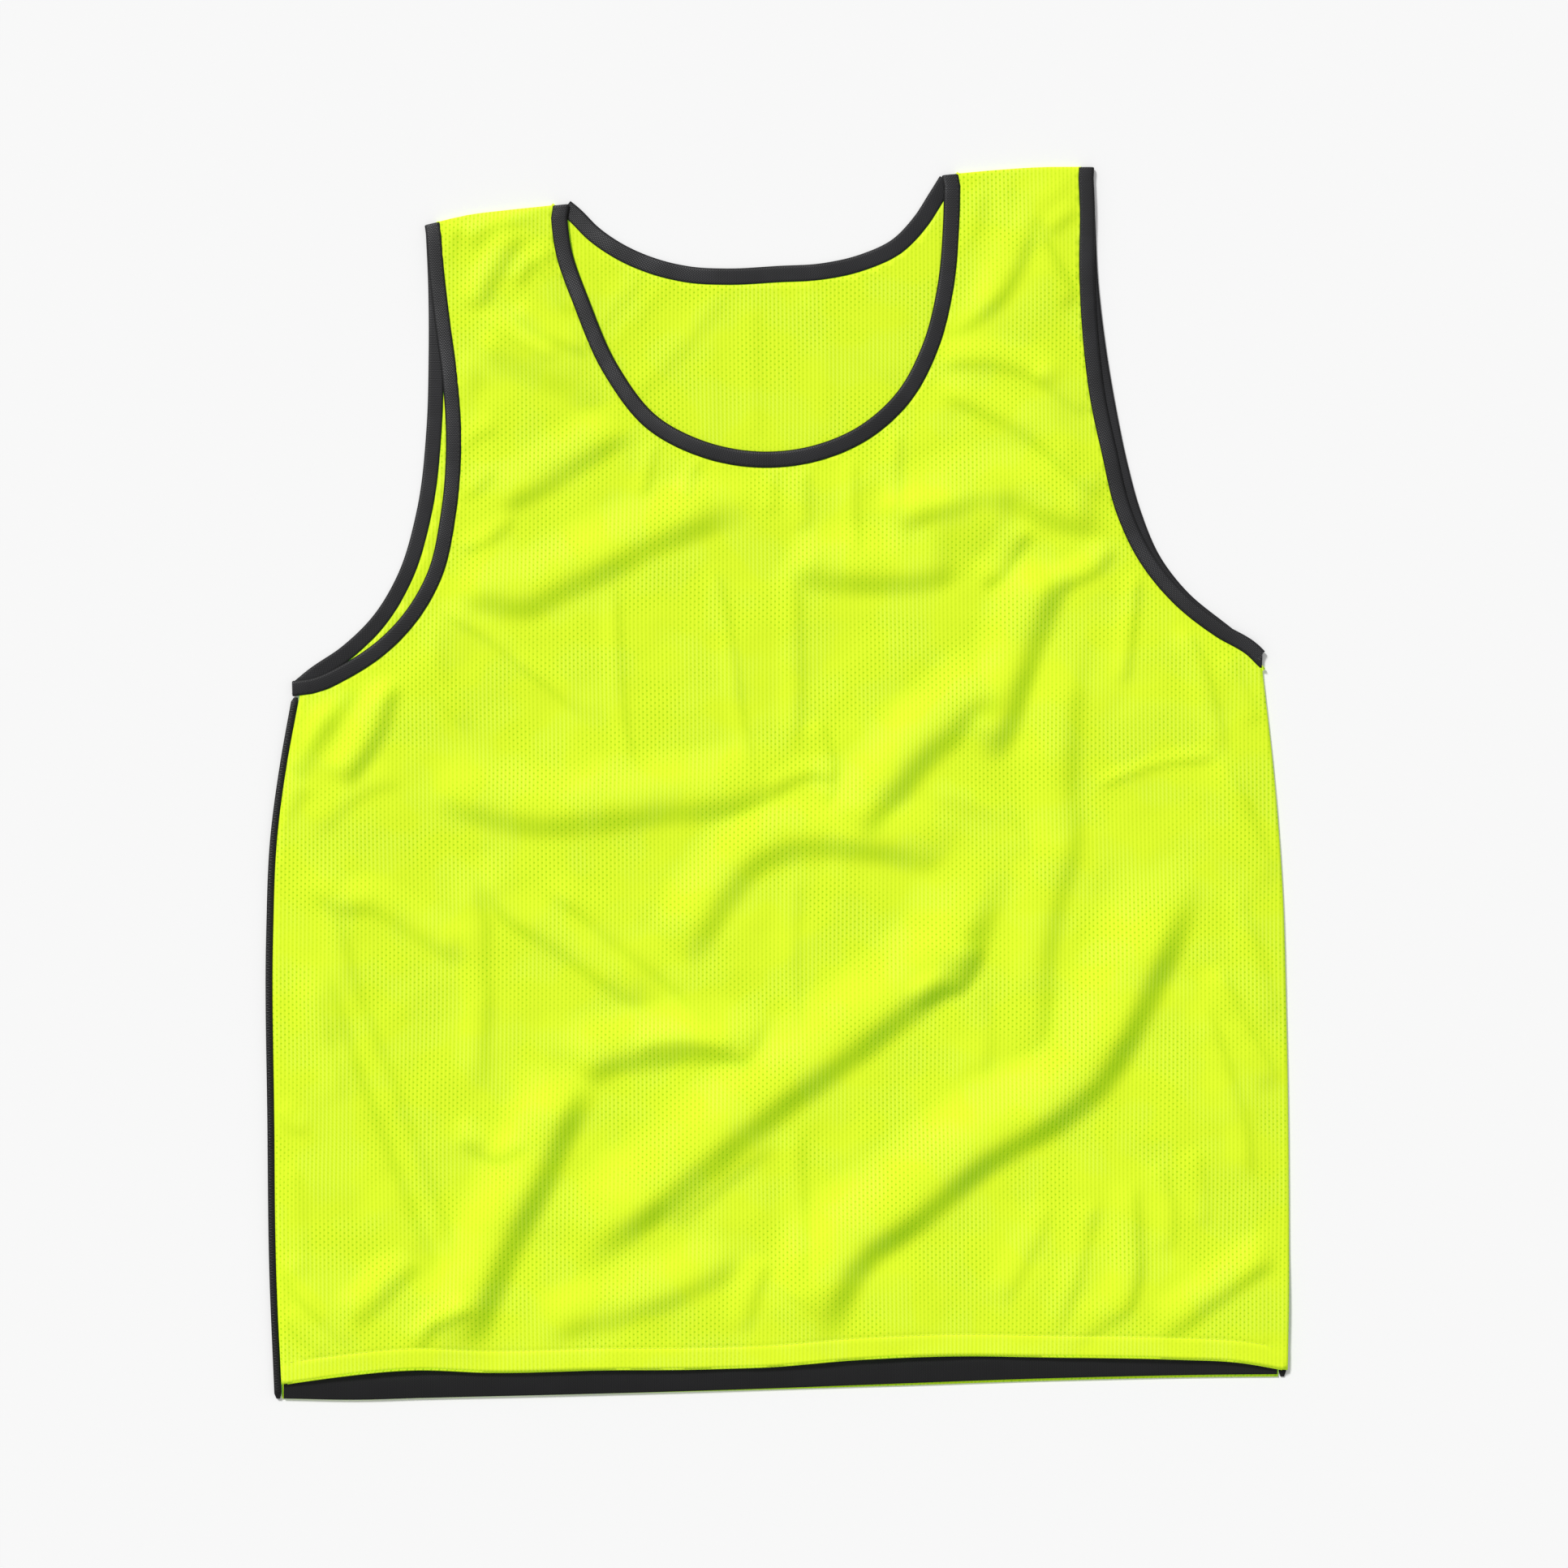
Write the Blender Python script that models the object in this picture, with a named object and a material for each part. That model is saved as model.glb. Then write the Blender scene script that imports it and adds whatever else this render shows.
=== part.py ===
"""Training bib laid flat with its front up.

A front and a back panel lie on each other, joined at the shoulders and sides. A binding goes round the neck and
round each armhole, piping runs down each side seam, and a tape lies on the inside of the back hem. Left is -X and
+Y points to the neck. Outlines are in millimetres from a point on the middle of the hem, and the whole bib is
centred over the origin at the end.
"""

import math
from typing import NamedTuple

import bmesh
import bpy
import numpy as np
from mathutils import Vector
from mathutils.geometry import delaunay_2d_cdt

MM = 0.001

# Cloth and seams
WALL = 1.2
SEAM_GAP = 0.3
NECK_BINDING_WIDTH = 9.0
ARM_BINDING_WIDTH = 8.4
BINDING_CROWN = 0.35
BINDING_EDGE = 0.5
PIPING_WIDTH = 4.2
PIPING_ROUND = 0.9
TAPE_WIDTH = 20.0
TAPE_THICK = 1.0
TAPE_END_GAP = 0.6
TAPE_STEP_RIGHT = 1.4
HEM_BAND = 12.0
HEM_BAND_RAISE = 0.4
NECK_CORNER_GAP = 1.6
ARM_CORNER_GAP = 0.9

# How far the panels' edges lie inside the bib's outline at the sides
LEFT_INSET = PIPING_WIDTH + SEAM_GAP
RIGHT_INSET = PIPING_WIDTH + 3 * SEAM_GAP

# How the front lies on the back
BACK_LEVEL = WALL / 2
BACK_TOP = WALL
FRONT_LEVEL = BACK_TOP + SEAM_GAP + WALL / 2
HEM_LIFT = TAPE_THICK + SEAM_GAP + 0.1
HEM_LIFT_REACH = 28.0
HEM_LIFT_FADE = 50.0
PILLOW = 1.2
RIPPLE = 0.5
RIPPLE_ACROSS = 27.0
RIPPLE_ALONG = 34.0
EDGE_FADE = 24.0
HEM_FOLD_SHARE = 0.35
HEM_FOLD_REACH = 45.0
FOLD_END_SHARE = 0.25
FOLD_BLEND = 3.0

# Mesh density
FRONT_SPACING = 12.5
BACK_SPACING = 60.0
LATTICE_CLEAR = 0.6
ROW_SHARE = math.sqrt(0.75)
MERGE_DISTANCE = 1e-4
SLOPE_STEP = 0.5
HEM_STEPS = 46
BACK_HEM_STEPS = 12
SHOULDER_STEPS = 5
BACK_SHOULDER_STEPS = 3
NECK_STEPS = 30
BACK_NECK_STEPS = 18
SIDE_STEPS = 30
BACK_SIDE_STEPS = 12
ARM_STEPS = 22
BACK_ARM_STEPS = 14
PIPING_STEPS = 24
TAPE_STEPS = 22
BEND_STEPS = 4
CURVE_STEPS = 12
FOLD_STEPS = 40

# Outlines of the panels, from left to right and from the hem up
FRONT_HEM = (
    (-284.6, 2.3), (-260, 6), (-209, 11), (-167, 9.5), (-98, 11), (-46, 11.3), (0, 13),
    (33, 16), (88, 18.7), (158, 18.2), (228, 17), (265, 15), (291.2, 10.3),
)
BACK_HEM = (
    (-284.6, -6.3), (-242, -7), (-205, -6), (-121, -4), (0, -1), (65, 1), (158, 4), (251, 6), (286.1, 6.3),
)
SIDE_LEFT = (
    (-289.2, -6.3), (-292.3, 70), (-293.3, 150), (-294, 260), (-291.6, 316), (-286, 358), (-279.2, 396.2),
)
SIDE_RIGHT = (
    (291.2, 6.3), (292, 51), (292, 121), (290.6, 214), (288.3, 288), (283.7, 349), (276.9, 410.8),
)
SHOULDER_LEFT = ((-194.2, 668.3), (-180, 671.6), (-155, 674.8), (-131, 677.3))
SHOULDER_RIGHT = ((103.8, 695.8), (125, 697.7), (150, 699.3), (171.2, 699.5))
FRONT_NECK = (
    (-131, 677.3), (-130.4, 668), (-128.3, 652), (-117.5, 620), (-100, 580.5), (-75, 549), (-48, 534.5),
    (-12, 527.3), (22, 531), (52, 544), (75, 565), (91, 595), (99.5, 628), (103.2, 668), (103.8, 695.8),
)
BACK_NECK = (
    (-131, 677.3), (-120.5, 669), (-110, 658.5), (-95, 648), (-75, 639), (-52, 633.5), (-30, 632.3),
    (0, 633.8), (25, 635.3), (50, 641), (70, 650.5), (85, 666), (94, 680), (103.8, 695.8),
)
FRONT_ARM_LEFT = (
    (-274.7, 396.2), (-262, 399.3), (-245, 407.5), (-225, 421), (-207, 440), (-193.5, 464), (-185.3, 500),
    (-182.2, 543), (-184.5, 580), (-188.5, 610), (-192, 640), (-194.2, 668.3),
)
BACK_ARM_LEFT = (
    (-274.7, 396.2), (-265.6, 404), (-245.3, 418), (-226, 437), (-211, 462), (-199.5, 500), (-193.5, 550),
    (-192.3, 590), (-192.5, 630), (-194.2, 668.3),
)
FRONT_ARM_RIGHT = (
    (276.9, 410.8), (268, 420), (251, 430), (225.5, 450), (205.5, 475), (193.7, 500), (184.5, 537),
    (178.5, 565), (174, 602), (172, 640), (172.3, 675), (171.2, 699.5),
)
BACK_ARM_RIGHT = (
    (270.9, 415.9), (251, 431), (228, 450), (211, 472), (199, 500), (191.5, 527), (185, 558), (178.5, 597),
    (174.2, 635), (172.6, 670), (171.2, 699.5),
)


class ArmFold(NamedTuple):
    """Where a binding turns under the arm: the seam's point, the edge's point and the side that it turns over."""

    seam: tuple
    edge: tuple
    outward: tuple


ARM_FOLD_LEFT = ArmFold((-277.6, 396.6), (-277.8, 405.4), (-1.0, 0.0))
ARM_FOLD_RIGHT = ArmFold((275.4, 412.9), (275.7, 421.7), (1.0, 0.0))


class Fold(NamedTuple):
    """A fold of the front.

    The line is the middle of its steep side. Its crest and its gentle side are on the left, going along the line.
    """

    name: str
    height: float
    steep: float
    gentle: float
    line: tuple


FOLDS = (
    Fold("right sweep", 9.0, 17, 32, ((14, 14), (53, 77), (112, 123), (172, 158), (219, 228), (246, 302))),
    Fold("middle sweep", 8.0, 17, 30, ((-116, 66), (-47, 116), (-9, 149), (42, 191), (98, 237), (130, 298))),
    Fold("left lower", 8.0, 16, 28, ((-176, 12), (-149, 79), (-121, 144), (-102, 178))),
    Fold("left shelf", 5.0, 16, 26, ((-120, 168), (-100, 180), (-74, 186), (-46, 190), (-8, 186))),
    Fold("waist line", 4.5, 17, 26, ((-208, 336), (-177, 328), (-130, 321), (-74, 328), (-14, 333), (18, 346))),
    Fold("centre hook", 5.0, 16, 24, ((-50, 242), (-28, 274), (-9, 301), (19, 308), (47, 307), (98, 299))),
    Fold("chest diagonal", 7.5, 17, 28, ((52, 316), (70, 344), (93, 367), (132, 394), (147, 428), (165, 463))),
    Fold("chest line", 4.5, 17, 24, ((8, 467), (42, 463), (65, 461), (98, 464), (123, 468), (146, 486))),
    Fold("right chest top", 4.0, 20, 22, ((62, 492), (100, 500), (128, 504), (154, 498), (188, 490))),
    Fold("left chest diagonal", 4.5, 17, 24, ((-188, 452), (-144, 449), (-121, 456), (-84, 474), (-18, 501))),
    Fold("left upper diagonal", 3.0, 16, 22, ((-160, 501), (-121, 525), (-93, 540), (-78, 547))),
    Fold("right column", 3.0, 16, 22, ((156, 192), (156, 246), (172, 302), (169, 349), (170, 386), (177, 425))),
    Fold("armpit pleat", 4.5, 14, 16, ((-276, 345), (-262, 372), (-244, 402))),
    Fold("armpit second pleat", 3.5, 14, 16, ((-248, 345), (-229, 373), (-216, 404))),
    Fold("left slope", 2.5, 18, 24, ((-192, 62), (-214, 121), (-237, 177), (-258, 240))),
    Fold("left cross crease", 2.5, 14, 20, ((-186, 300), (-153, 268), (-112, 238), (-62, 208))),
    Fold("hem pleat left", 2.5, 14, 18, ((-244, 32), (-222, 50), (-202, 66))),
    Fold("hem pleat middle", 3.0, 16, 24, ((-132, 28), (-98, 37), (-65, 49), (-20, 72))),
    Fold("hem pleat right", 3.0, 14, 20, ((234, 30), (256, 51), (282, 71))),
    Fold("right hook", 2.5, 14, 20, ((170, 26), (202, 44), (210, 79), (207, 118))),
    Fold("strap crease left", 2.0, 16, 22, ((-176, 612), (-150, 596), (-120, 584), (-98, 572))),
    Fold("strap crease right", 2.5, 16, 22, ((98, 604), (124, 626), (146, 662), (152, 684))),
)


class Curve:
    """A smooth line through hand-placed points, read by its share of length."""

    def __init__(self, points):
        """Draws the line through the points.

        Args:
            points: the (x, y) points that the line passes through.
        """
        knots = np.array(points, float)
        chord = np.linalg.norm(np.diff(knots, axis=0), axis=1)
        slopes = np.diff(knots, axis=0) / chord[:, None]
        tangents = np.vstack([slopes[:1], slopes[-1:]])
        if len(knots) > 2:
            before = chord[:-1, None]
            after = chord[1:, None]
            middle = (slopes[:-1] * after + slopes[1:] * before) / (before + after)
            tangents = np.vstack([slopes[:1], middle, slopes[-1:]])
        t = np.linspace(0, 1, CURVE_STEPS, endpoint=False)[:, None]
        pieces = []
        for i, span in enumerate(chord):
            pieces.append(
                (2 * t**3 - 3 * t**2 + 1) * knots[i]
                + (t**3 - 2 * t**2 + t) * span * tangents[i]
                + (3 * t**2 - 2 * t**3) * knots[i + 1]
                + (t**3 - t**2) * span * tangents[i + 1]
            )
        self.points = np.vstack(pieces + [knots[-1:]])
        steps = np.linalg.norm(np.diff(self.points, axis=0), axis=1)
        self.lengths = np.concatenate([[0.0], np.cumsum(steps)])

    def at(self, shares):
        """The points at these shares of the line's length."""
        wanted = np.asarray(shares, float) * self.lengths[-1]
        x = np.interp(wanted, self.lengths, self.points[:, 0])
        y = np.interp(wanted, self.lengths, self.points[:, 1])
        return np.stack([x, y], axis=-1)

    def spread(self, steps):
        """The points that part the line into so many equal steps."""
        return self.at(np.linspace(0, 1, steps + 1))


def ramp(share):
    """A smooth rise from 0 to 1 as the share goes from 0 to 1."""
    return 0.5 - 0.5 * np.cos(np.pi * np.clip(share, 0.0, 1.0))


def left_normals(line):
    """The unit vectors across a line at its points, pointing to the left of the way along it."""
    along = np.gradient(line, axis=0)
    along /= np.linalg.norm(along, axis=1, keepdims=True)
    return np.stack([-along[:, 1], along[:, 0]], axis=1)


def line_frame(points, line):
    """Where points lie beside a line.

    Args:
        points: an array of (x, y) points.
        line: the points of the line.

    Returns:
        Their distances from the line, positive on its left, and the share of the line's length beside them.
    """
    starts = line[:-1]
    spans = np.diff(line, axis=0)
    lengths = np.linalg.norm(spans, axis=1)
    reach = points[:, None, :] - starts[None]
    along = np.clip((reach * spans).sum(axis=2) / lengths**2, 0, 1)
    distance = np.linalg.norm(reach - along[..., None] * spans, axis=2)
    nearest = distance.argmin(axis=1)
    rows = np.arange(len(points))
    near_reach = reach[rows, nearest]
    near_span = spans[nearest]
    side = np.sign(near_span[:, 0] * near_reach[:, 1] - near_span[:, 1] * near_reach[:, 0])
    passed = np.concatenate([[0.0], np.cumsum(lengths)])
    share = (passed[nearest] + along[rows, nearest] * lengths[nearest]) / passed[-1]
    return side * distance[rows, nearest], share


def fold_rise(points, fold):
    """How high one fold lifts the front at these points."""
    away, share = line_frame(points, Curve(fold.line).spread(FOLD_STEPS))
    rise = ramp(away / fold.steep + 0.5)
    fall = ramp((away - fold.steep / 2) / fold.gentle)
    ends = ramp(share / FOLD_END_SHARE) * ramp((1 - share) / FOLD_END_SHARE)
    return fold.height * rise * (1 - fall) * ends


def ripple(points):
    """The slight unevenness of the front between its folds."""
    x = points[:, 0] / RIPPLE_ACROSS
    y = points[:, 1] / RIPPLE_ALONG
    return RIPPLE * np.sin(x + y / 3) * np.cos(y - x / 4)


def front_level(points):
    """The height of the middle of the front's wall at these points."""
    seams = (FRONT_NECK, FRONT_ARM_LEFT, FRONT_ARM_RIGHT, SIDE_RIGHT, SHOULDER_LEFT, SHOULDER_RIGHT)
    lines = [Curve(seam).points for seam in seams]
    lines.append(side_line(SIDE_LEFT, LEFT_INSET).points)
    inside = np.min([np.abs(line_frame(points, line)[0]) for line in lines], axis=0)
    free = ramp(inside / EDGE_FADE)
    up = above_hem(points)
    lift = HEM_LIFT * (1 - ramp((up - HEM_LIFT_REACH) / HEM_LIFT_FADE))
    held = HEM_FOLD_SHARE + (1 - HEM_FOLD_SHARE) * ramp(up / HEM_FOLD_REACH)
    rises = np.array([fold_rise(points, fold) for fold in FOLDS])
    folds = (rises**FOLD_BLEND).sum(axis=0) ** (1 / FOLD_BLEND)
    return FRONT_LEVEL + lift + free * (PILLOW + ripple(points) + folds * held)


def side_line(outline, inset, start=None, end=None):
    """A side seam's outline moved towards the middle of the bib.

    Args:
        outline: the side's points, from the hem up.
        inset: how far they move.
        start: the point that takes the place of the first one.
        end: the point that takes the place of the last one.
    """
    inward = -1.0 if outline[0][0] > 0 else 1.0
    points = [(x + inward * inset, y) for x, y in outline]
    points[0] = start or points[0]
    points[-1] = end or points[-1]
    return Curve(points)


def above_hem(points):
    """How far points lie above the front's hem."""
    hem = Curve(FRONT_HEM).points
    return points[:, 1] - np.interp(points[:, 0], hem[:, 0], hem[:, 1])


def outline_of(lines):
    """One closed row of points from lines that meet end to start.

    Args:
        lines: each line's points, anticlockwise round the panel.
    """
    return np.vstack([line[:-1] for line in lines])


def lattice(outline, spacing):
    """The points of a lattice of equal triangles over a panel, clear of its outline.

    Args:
        outline: the panel's closed row of points.
        spacing: the distance between neighbours.
    """
    low = outline.min(axis=0)
    high = outline.max(axis=0)
    rows = []
    for i, y in enumerate(np.arange(low[1], high[1], spacing * ROW_SHARE)):
        x = np.arange(low[0] + spacing / 2 * (i % 2), high[0], spacing)
        rows.append(np.stack([x, np.full(len(x), y)], axis=1))
    return clear_of_outline(np.vstack(rows), outline, spacing)


def clear_of_outline(points, outline, spacing):
    """Those of the points that lie clear of a panel's outline."""
    ring = np.vstack([outline, outline[:1]])
    return points[np.abs(line_frame(points, ring)[0]) > LATTICE_CLEAR * spacing]


def fold_guides(spacing):
    """Rows of points along each fold: on its crest, its foot, its two sides and the cloth beside it."""
    rows = []
    for fold in FOLDS:
        line = Curve(fold.line)
        middle = line.spread(round(line.lengths[-1] / spacing))
        aside = left_normals(middle)
        crest = fold.steep / 2
        for away in (0.0, crest, -crest, crest + spacing, -crest - spacing, crest + 2 * spacing):
            rows.append(middle + aside * away)
    return np.vstack(rows)


def thinned(points, fixed, clear):
    """Those of the points, taken in order, that keep clear of the fixed ones and of each other."""
    kept = np.full((len(fixed) + len(points), 2), np.inf)
    kept[:len(fixed)] = fixed
    count = len(fixed)
    for point in points:
        if np.linalg.norm(kept[:count] - point, axis=1).min() >= clear:
            kept[count] = point
            count += 1
    return kept[len(fixed):count]


def flat_triangles(outline, inside):
    """The flat triangles of a panel.

    Args:
        outline: the panel's closed row of points.
        inside: the points inside it. Those outside it are dropped.

    Returns:
        The points and the triangles.
    """
    points = np.vstack([outline, inside])
    found = delaunay_2d_cdt([Vector(point) for point in points], [], [range(len(outline))], 1, MERGE_DISTANCE)
    corners = np.array([tuple(point) for point in found[0]])
    triangles = np.array([tuple(face) for face in found[2]])
    used, numbered = np.unique(triangles, return_inverse=True)
    return corners[used], numbered.reshape(-1, 3)


def wall_of(points, triangles, level, raised):
    """The closed wall over a panel's flat triangles.

    Args:
        points: the (x, y) points.
        triangles: the triangles between them.
        level: the function that gives the height of the middle of the wall at points.
        raised: how much higher the outer face is, one number for each point.

    Returns:
        The wall's vertices and faces.
    """
    across = np.array([SLOPE_STEP, 0.0])
    along = np.array([0.0, SLOPE_STEP])
    rise_x = (level(points + across) - level(points - across)) / (2 * SLOPE_STEP)
    rise_y = (level(points + along) - level(points - along)) / (2 * SLOPE_STEP)
    directed = {(a, b) for face in triangles.tolist() for a, b in zip(face, face[1:] + face[:1])}
    rim = sorted((a, b) for a, b in directed if (b, a) not in directed)
    # The wall is upright along its rim, so that it meets its neighbours squarely.
    edge = np.unique(rim)
    rise_x[edge] = 0.0
    rise_y[edge] = 0.0
    normals = np.stack([-rise_x, -rise_y, np.ones(len(points))], axis=1)
    normals /= np.linalg.norm(normals, axis=1, keepdims=True)
    middle = np.column_stack([points, level(points)])
    outer = middle + normals * (WALL / 2 + raised)[:, None]
    inner = middle - normals * WALL / 2
    size = len(points)
    faces = triangles.tolist()
    faces += [[c + size, b + size, a + size] for a, b, c in triangles.tolist()]
    faces += [[b, a, a + size, b + size] for a, b in rim]
    return np.vstack([outer, inner]), faces


def tube_of(sections, closed):
    """The closed skin over a row of sections, which joins its last section to its first or caps both ends.

    Args:
        sections: an array of (section, point, xyz).
        closed: whether the row closes on itself as a ring.

    Returns:
        The skin's vertices and faces.
    """
    count, points = sections.shape[:2]
    faces = []
    for i in range(count if closed else count - 1):
        for j in range(points):
            a = i * points
            b = (i + 1) % count * points
            k = (j + 1) % points
            faces.append((a + j, a + k, b + k, b + j))
    if not closed:
        faces.append(tuple(range(points - 1, -1, -1)))
        faces.append(tuple((count - 1) * points + j for j in range(points)))
    return sections.reshape(-1, 3), faces


class Station(NamedTuple):
    """A place along a binding: its seam, its free edge, the way that its outside faces and its crown."""

    seam: np.ndarray
    edge: np.ndarray
    outside: np.ndarray
    crown: float


def binding_section(station):
    """The six points round a binding at one station."""
    across = station.edge - station.seam
    up = station.outside
    half = WALL / 2
    return [
        station.seam + up * half,
        station.seam + across * 0.25 + up * (half + station.crown),
        station.seam + across * 0.75 + up * (half + station.crown),
        station.edge + up * half * BINDING_EDGE,
        station.edge - up * half,
        station.seam - up * half,
    ]


def ribbon(seam_line, width, height, upward):
    """The stations of a flat stretch of binding beside a panel's edge.

    Args:
        seam_line: the points of the panel's edge, with the opening on their left.
        width: the binding's width.
        height: the height of the middle of its wall.
        upward: 1 where its outside faces up, -1 where it faces down.
    """
    across = left_normals(seam_line)
    stations = []
    for point, normal in zip(seam_line, across):
        seam = np.append(point + normal * SEAM_GAP, height)
        edge = np.append(point + normal * (SEAM_GAP + width), height)
        crown = BINDING_CROWN if upward > 0 else 0.0
        stations.append(Station(seam, edge, np.array([0.0, 0.0, float(upward)]), crown))
    return stations


def bend(seam, edge, outward, rising):
    """The stations where a binding turns over the edge of the bib, from one layer to the other.

    Args:
        seam: the seam's (x, y) point on the line that it turns about.
        edge: the free edge's (x, y) point on that line.
        outward: the unit (x, y) vector out of the bib.
        rising: whether it goes from the back up to the front.
    """
    middle = (FRONT_LEVEL + BACK_LEVEL) / 2
    radius = (FRONT_LEVEL - BACK_LEVEL) / 2
    stations = []
    for i in range(BEND_STEPS + 1):
        angle = math.pi * i / BEND_STEPS
        if rising:
            angle = math.pi - angle
        out = np.array([outward[0] * math.sin(angle), outward[1] * math.sin(angle), math.cos(angle)])
        shift = out * radius
        front_share = max(math.cos(angle), 0.0)
        stations.append(
            Station(
                np.append(seam, middle) + shift,
                np.append(edge, middle) + shift,
                out,
                BINDING_CROWN * front_share,
            )
        )
    return stations


def shoulder_bend(corner, towards, gap, width, rising):
    """The stations where a binding turns over a shoulder.

    Args:
        corner: the panels' corner at the shoulder.
        towards: a point on the shoulder's line on the panel's side of the corner.
        gap: how far along the shoulder's line the binding starts from the corner.
        width: the binding's width.
        rising: whether it goes from the back up to the front.
    """
    along = np.array(corner) - np.array(towards)
    along /= np.linalg.norm(along)
    outward = np.array([-along[1], along[0]])
    outward *= np.sign(outward[1])
    set_in = (FRONT_LEVEL - BACK_LEVEL) / 2 + WALL / 2
    seam = np.array(corner) + along * gap - outward * set_in
    return bend(seam, seam + along * width, outward, rising)


def binding_ring(front_line, back_line, width, start_bend, end_bend):
    """The closed ring of a binding.

    Args:
        front_line: the front's edge, with the opening on its left.
        back_line: the back's edge, run the other way.
        width: the binding's width.
        start_bend: the stations that lead from the back up to the front.
        end_bend: the stations that lead from the front down to the back.
    """
    front = ribbon(front_line, width, FRONT_LEVEL, 1)[1:-1]
    back_stations = ribbon(back_line[::-1], width, BACK_LEVEL, -1)[::-1][1:-1]
    stations = front + end_bend + back_stations + start_bend
    return tube_of(np.array([binding_section(station) for station in stations]), True)


def piping_left():
    """The piping beside the left edges of both panels, as high as the front's outer face."""
    outline = Curve(SIDE_LEFT).spread(PIPING_STEPS)
    outline[-1, 1] -= 2 * SEAM_GAP
    inner = side_line(SIDE_LEFT, LEFT_INSET).spread(PIPING_STEPS)
    tops = front_level(inner) + WALL / 2
    sections = []
    for (x, y), top in zip(outline, tops):
        sections.append([
            (x + PIPING_WIDTH, y, 0),
            (x + PIPING_ROUND, y, 0),
            (x, y, PIPING_ROUND),
            (x, y, top - PIPING_ROUND),
            (x + PIPING_ROUND, y, top),
            (x + PIPING_WIDTH, y, top),
        ])
    return tube_of(np.array(sections), False)


def piping_right():
    """The piping rolled under the right edge of the front, beside the edge of the back."""
    outline = Curve(SIDE_RIGHT).spread(PIPING_STEPS)
    sections = []
    for x, y in outline:
        outer = x - 2 * SEAM_GAP
        sections.append([
            (outer - PIPING_WIDTH, y, 0),
            (outer - PIPING_ROUND / 2, y, 0),
            (outer, y, PIPING_ROUND / 2),
            (outer, y, BACK_TOP),
            (outer - PIPING_WIDTH, y, BACK_TOP),
        ])
    return tube_of(np.array(sections), False)


def hem_tape():
    """The tape on the inside of the back's hem, whose lower edge rises above the hem's towards the right."""
    hem = Curve(BACK_HEM).spread(TAPE_STEPS)
    hem[0, 0] += TAPE_END_GAP
    hem[-1, 0] -= TAPE_END_GAP
    bottom = BACK_TOP + SEAM_GAP
    sections = []
    for share, (x, y) in zip(np.linspace(0, 1, len(hem)), hem):
        low = y + TAPE_STEP_RIGHT * ramp(2 * share - 0.5)
        sections.append([
            (x, low, bottom),
            (x, low, bottom + TAPE_THICK),
            (x, low + TAPE_WIDTH, bottom + TAPE_THICK),
            (x, low + TAPE_WIDTH, bottom),
        ])
    return tube_of(np.array(sections), False)


def front_panel():
    """The front's wall, with its largest folds and its turned hem."""
    hem = Curve(FRONT_HEM).spread(HEM_STEPS)
    outline = outline_of([
        hem,
        side_line(SIDE_RIGHT, 0.0, FRONT_HEM[-1], FRONT_ARM_RIGHT[0]).spread(SIDE_STEPS),
        Curve(FRONT_ARM_RIGHT).spread(ARM_STEPS),
        Curve(SHOULDER_RIGHT).spread(SHOULDER_STEPS)[::-1],
        Curve(FRONT_NECK).spread(NECK_STEPS)[::-1],
        Curve(SHOULDER_LEFT).spread(SHOULDER_STEPS)[::-1],
        Curve(FRONT_ARM_LEFT).spread(ARM_STEPS)[::-1],
        side_line(SIDE_LEFT, LEFT_INSET, FRONT_HEM[0], FRONT_ARM_LEFT[0]).spread(SIDE_STEPS)[::-1],
    ])
    band_top = hem[1:-1] + np.array([0.0, HEM_BAND])
    guides = clear_of_outline(fold_guides(FRONT_SPACING), outline, FRONT_SPACING)
    free = np.vstack([guides, lattice(outline, FRONT_SPACING)])
    free = free[above_hem(free) > HEM_BAND + LATTICE_CLEAR * FRONT_SPACING]
    free = thinned(free, np.vstack([outline, band_top]), LATTICE_CLEAR * FRONT_SPACING)
    points, triangles = flat_triangles(outline, np.vstack([band_top, free]))
    in_band = above_hem(points) < HEM_BAND + SLOPE_STEP
    return wall_of(points, triangles, front_level, HEM_BAND_RAISE * in_band)


def back_level(points):
    """The height of the middle of the back's wall at these points."""
    return np.full(len(points), BACK_LEVEL)


def back_panel():
    """The back's wall, flat on the surface."""
    outline = outline_of([
        Curve(BACK_HEM).spread(BACK_HEM_STEPS),
        side_line(SIDE_RIGHT, RIGHT_INSET, BACK_HEM[-1], BACK_ARM_RIGHT[0]).spread(BACK_SIDE_STEPS),
        Curve(BACK_ARM_RIGHT).spread(BACK_ARM_STEPS),
        Curve(SHOULDER_RIGHT).spread(BACK_SHOULDER_STEPS)[::-1],
        Curve(BACK_NECK).spread(BACK_NECK_STEPS)[::-1],
        Curve(SHOULDER_LEFT).spread(BACK_SHOULDER_STEPS)[::-1],
        Curve(BACK_ARM_LEFT).spread(BACK_ARM_STEPS)[::-1],
        side_line(SIDE_LEFT, LEFT_INSET, BACK_HEM[0], BACK_ARM_LEFT[0]).spread(BACK_SIDE_STEPS)[::-1],
    ])
    points, triangles = flat_triangles(outline, lattice(outline, BACK_SPACING))
    return wall_of(points, triangles, back_level, np.zeros(len(points)))


def neck_binding():
    """The ring of binding round the neck."""
    left_bend = shoulder_bend(SHOULDER_LEFT[-1], SHOULDER_LEFT[-2], NECK_CORNER_GAP, NECK_BINDING_WIDTH, True)
    right_bend = shoulder_bend(SHOULDER_RIGHT[0], SHOULDER_RIGHT[1], NECK_CORNER_GAP, NECK_BINDING_WIDTH, False)
    return binding_ring(
        Curve(FRONT_NECK).spread(NECK_STEPS),
        Curve(BACK_NECK).spread(BACK_NECK_STEPS)[::-1],
        NECK_BINDING_WIDTH, left_bend, right_bend,
    )


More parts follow.
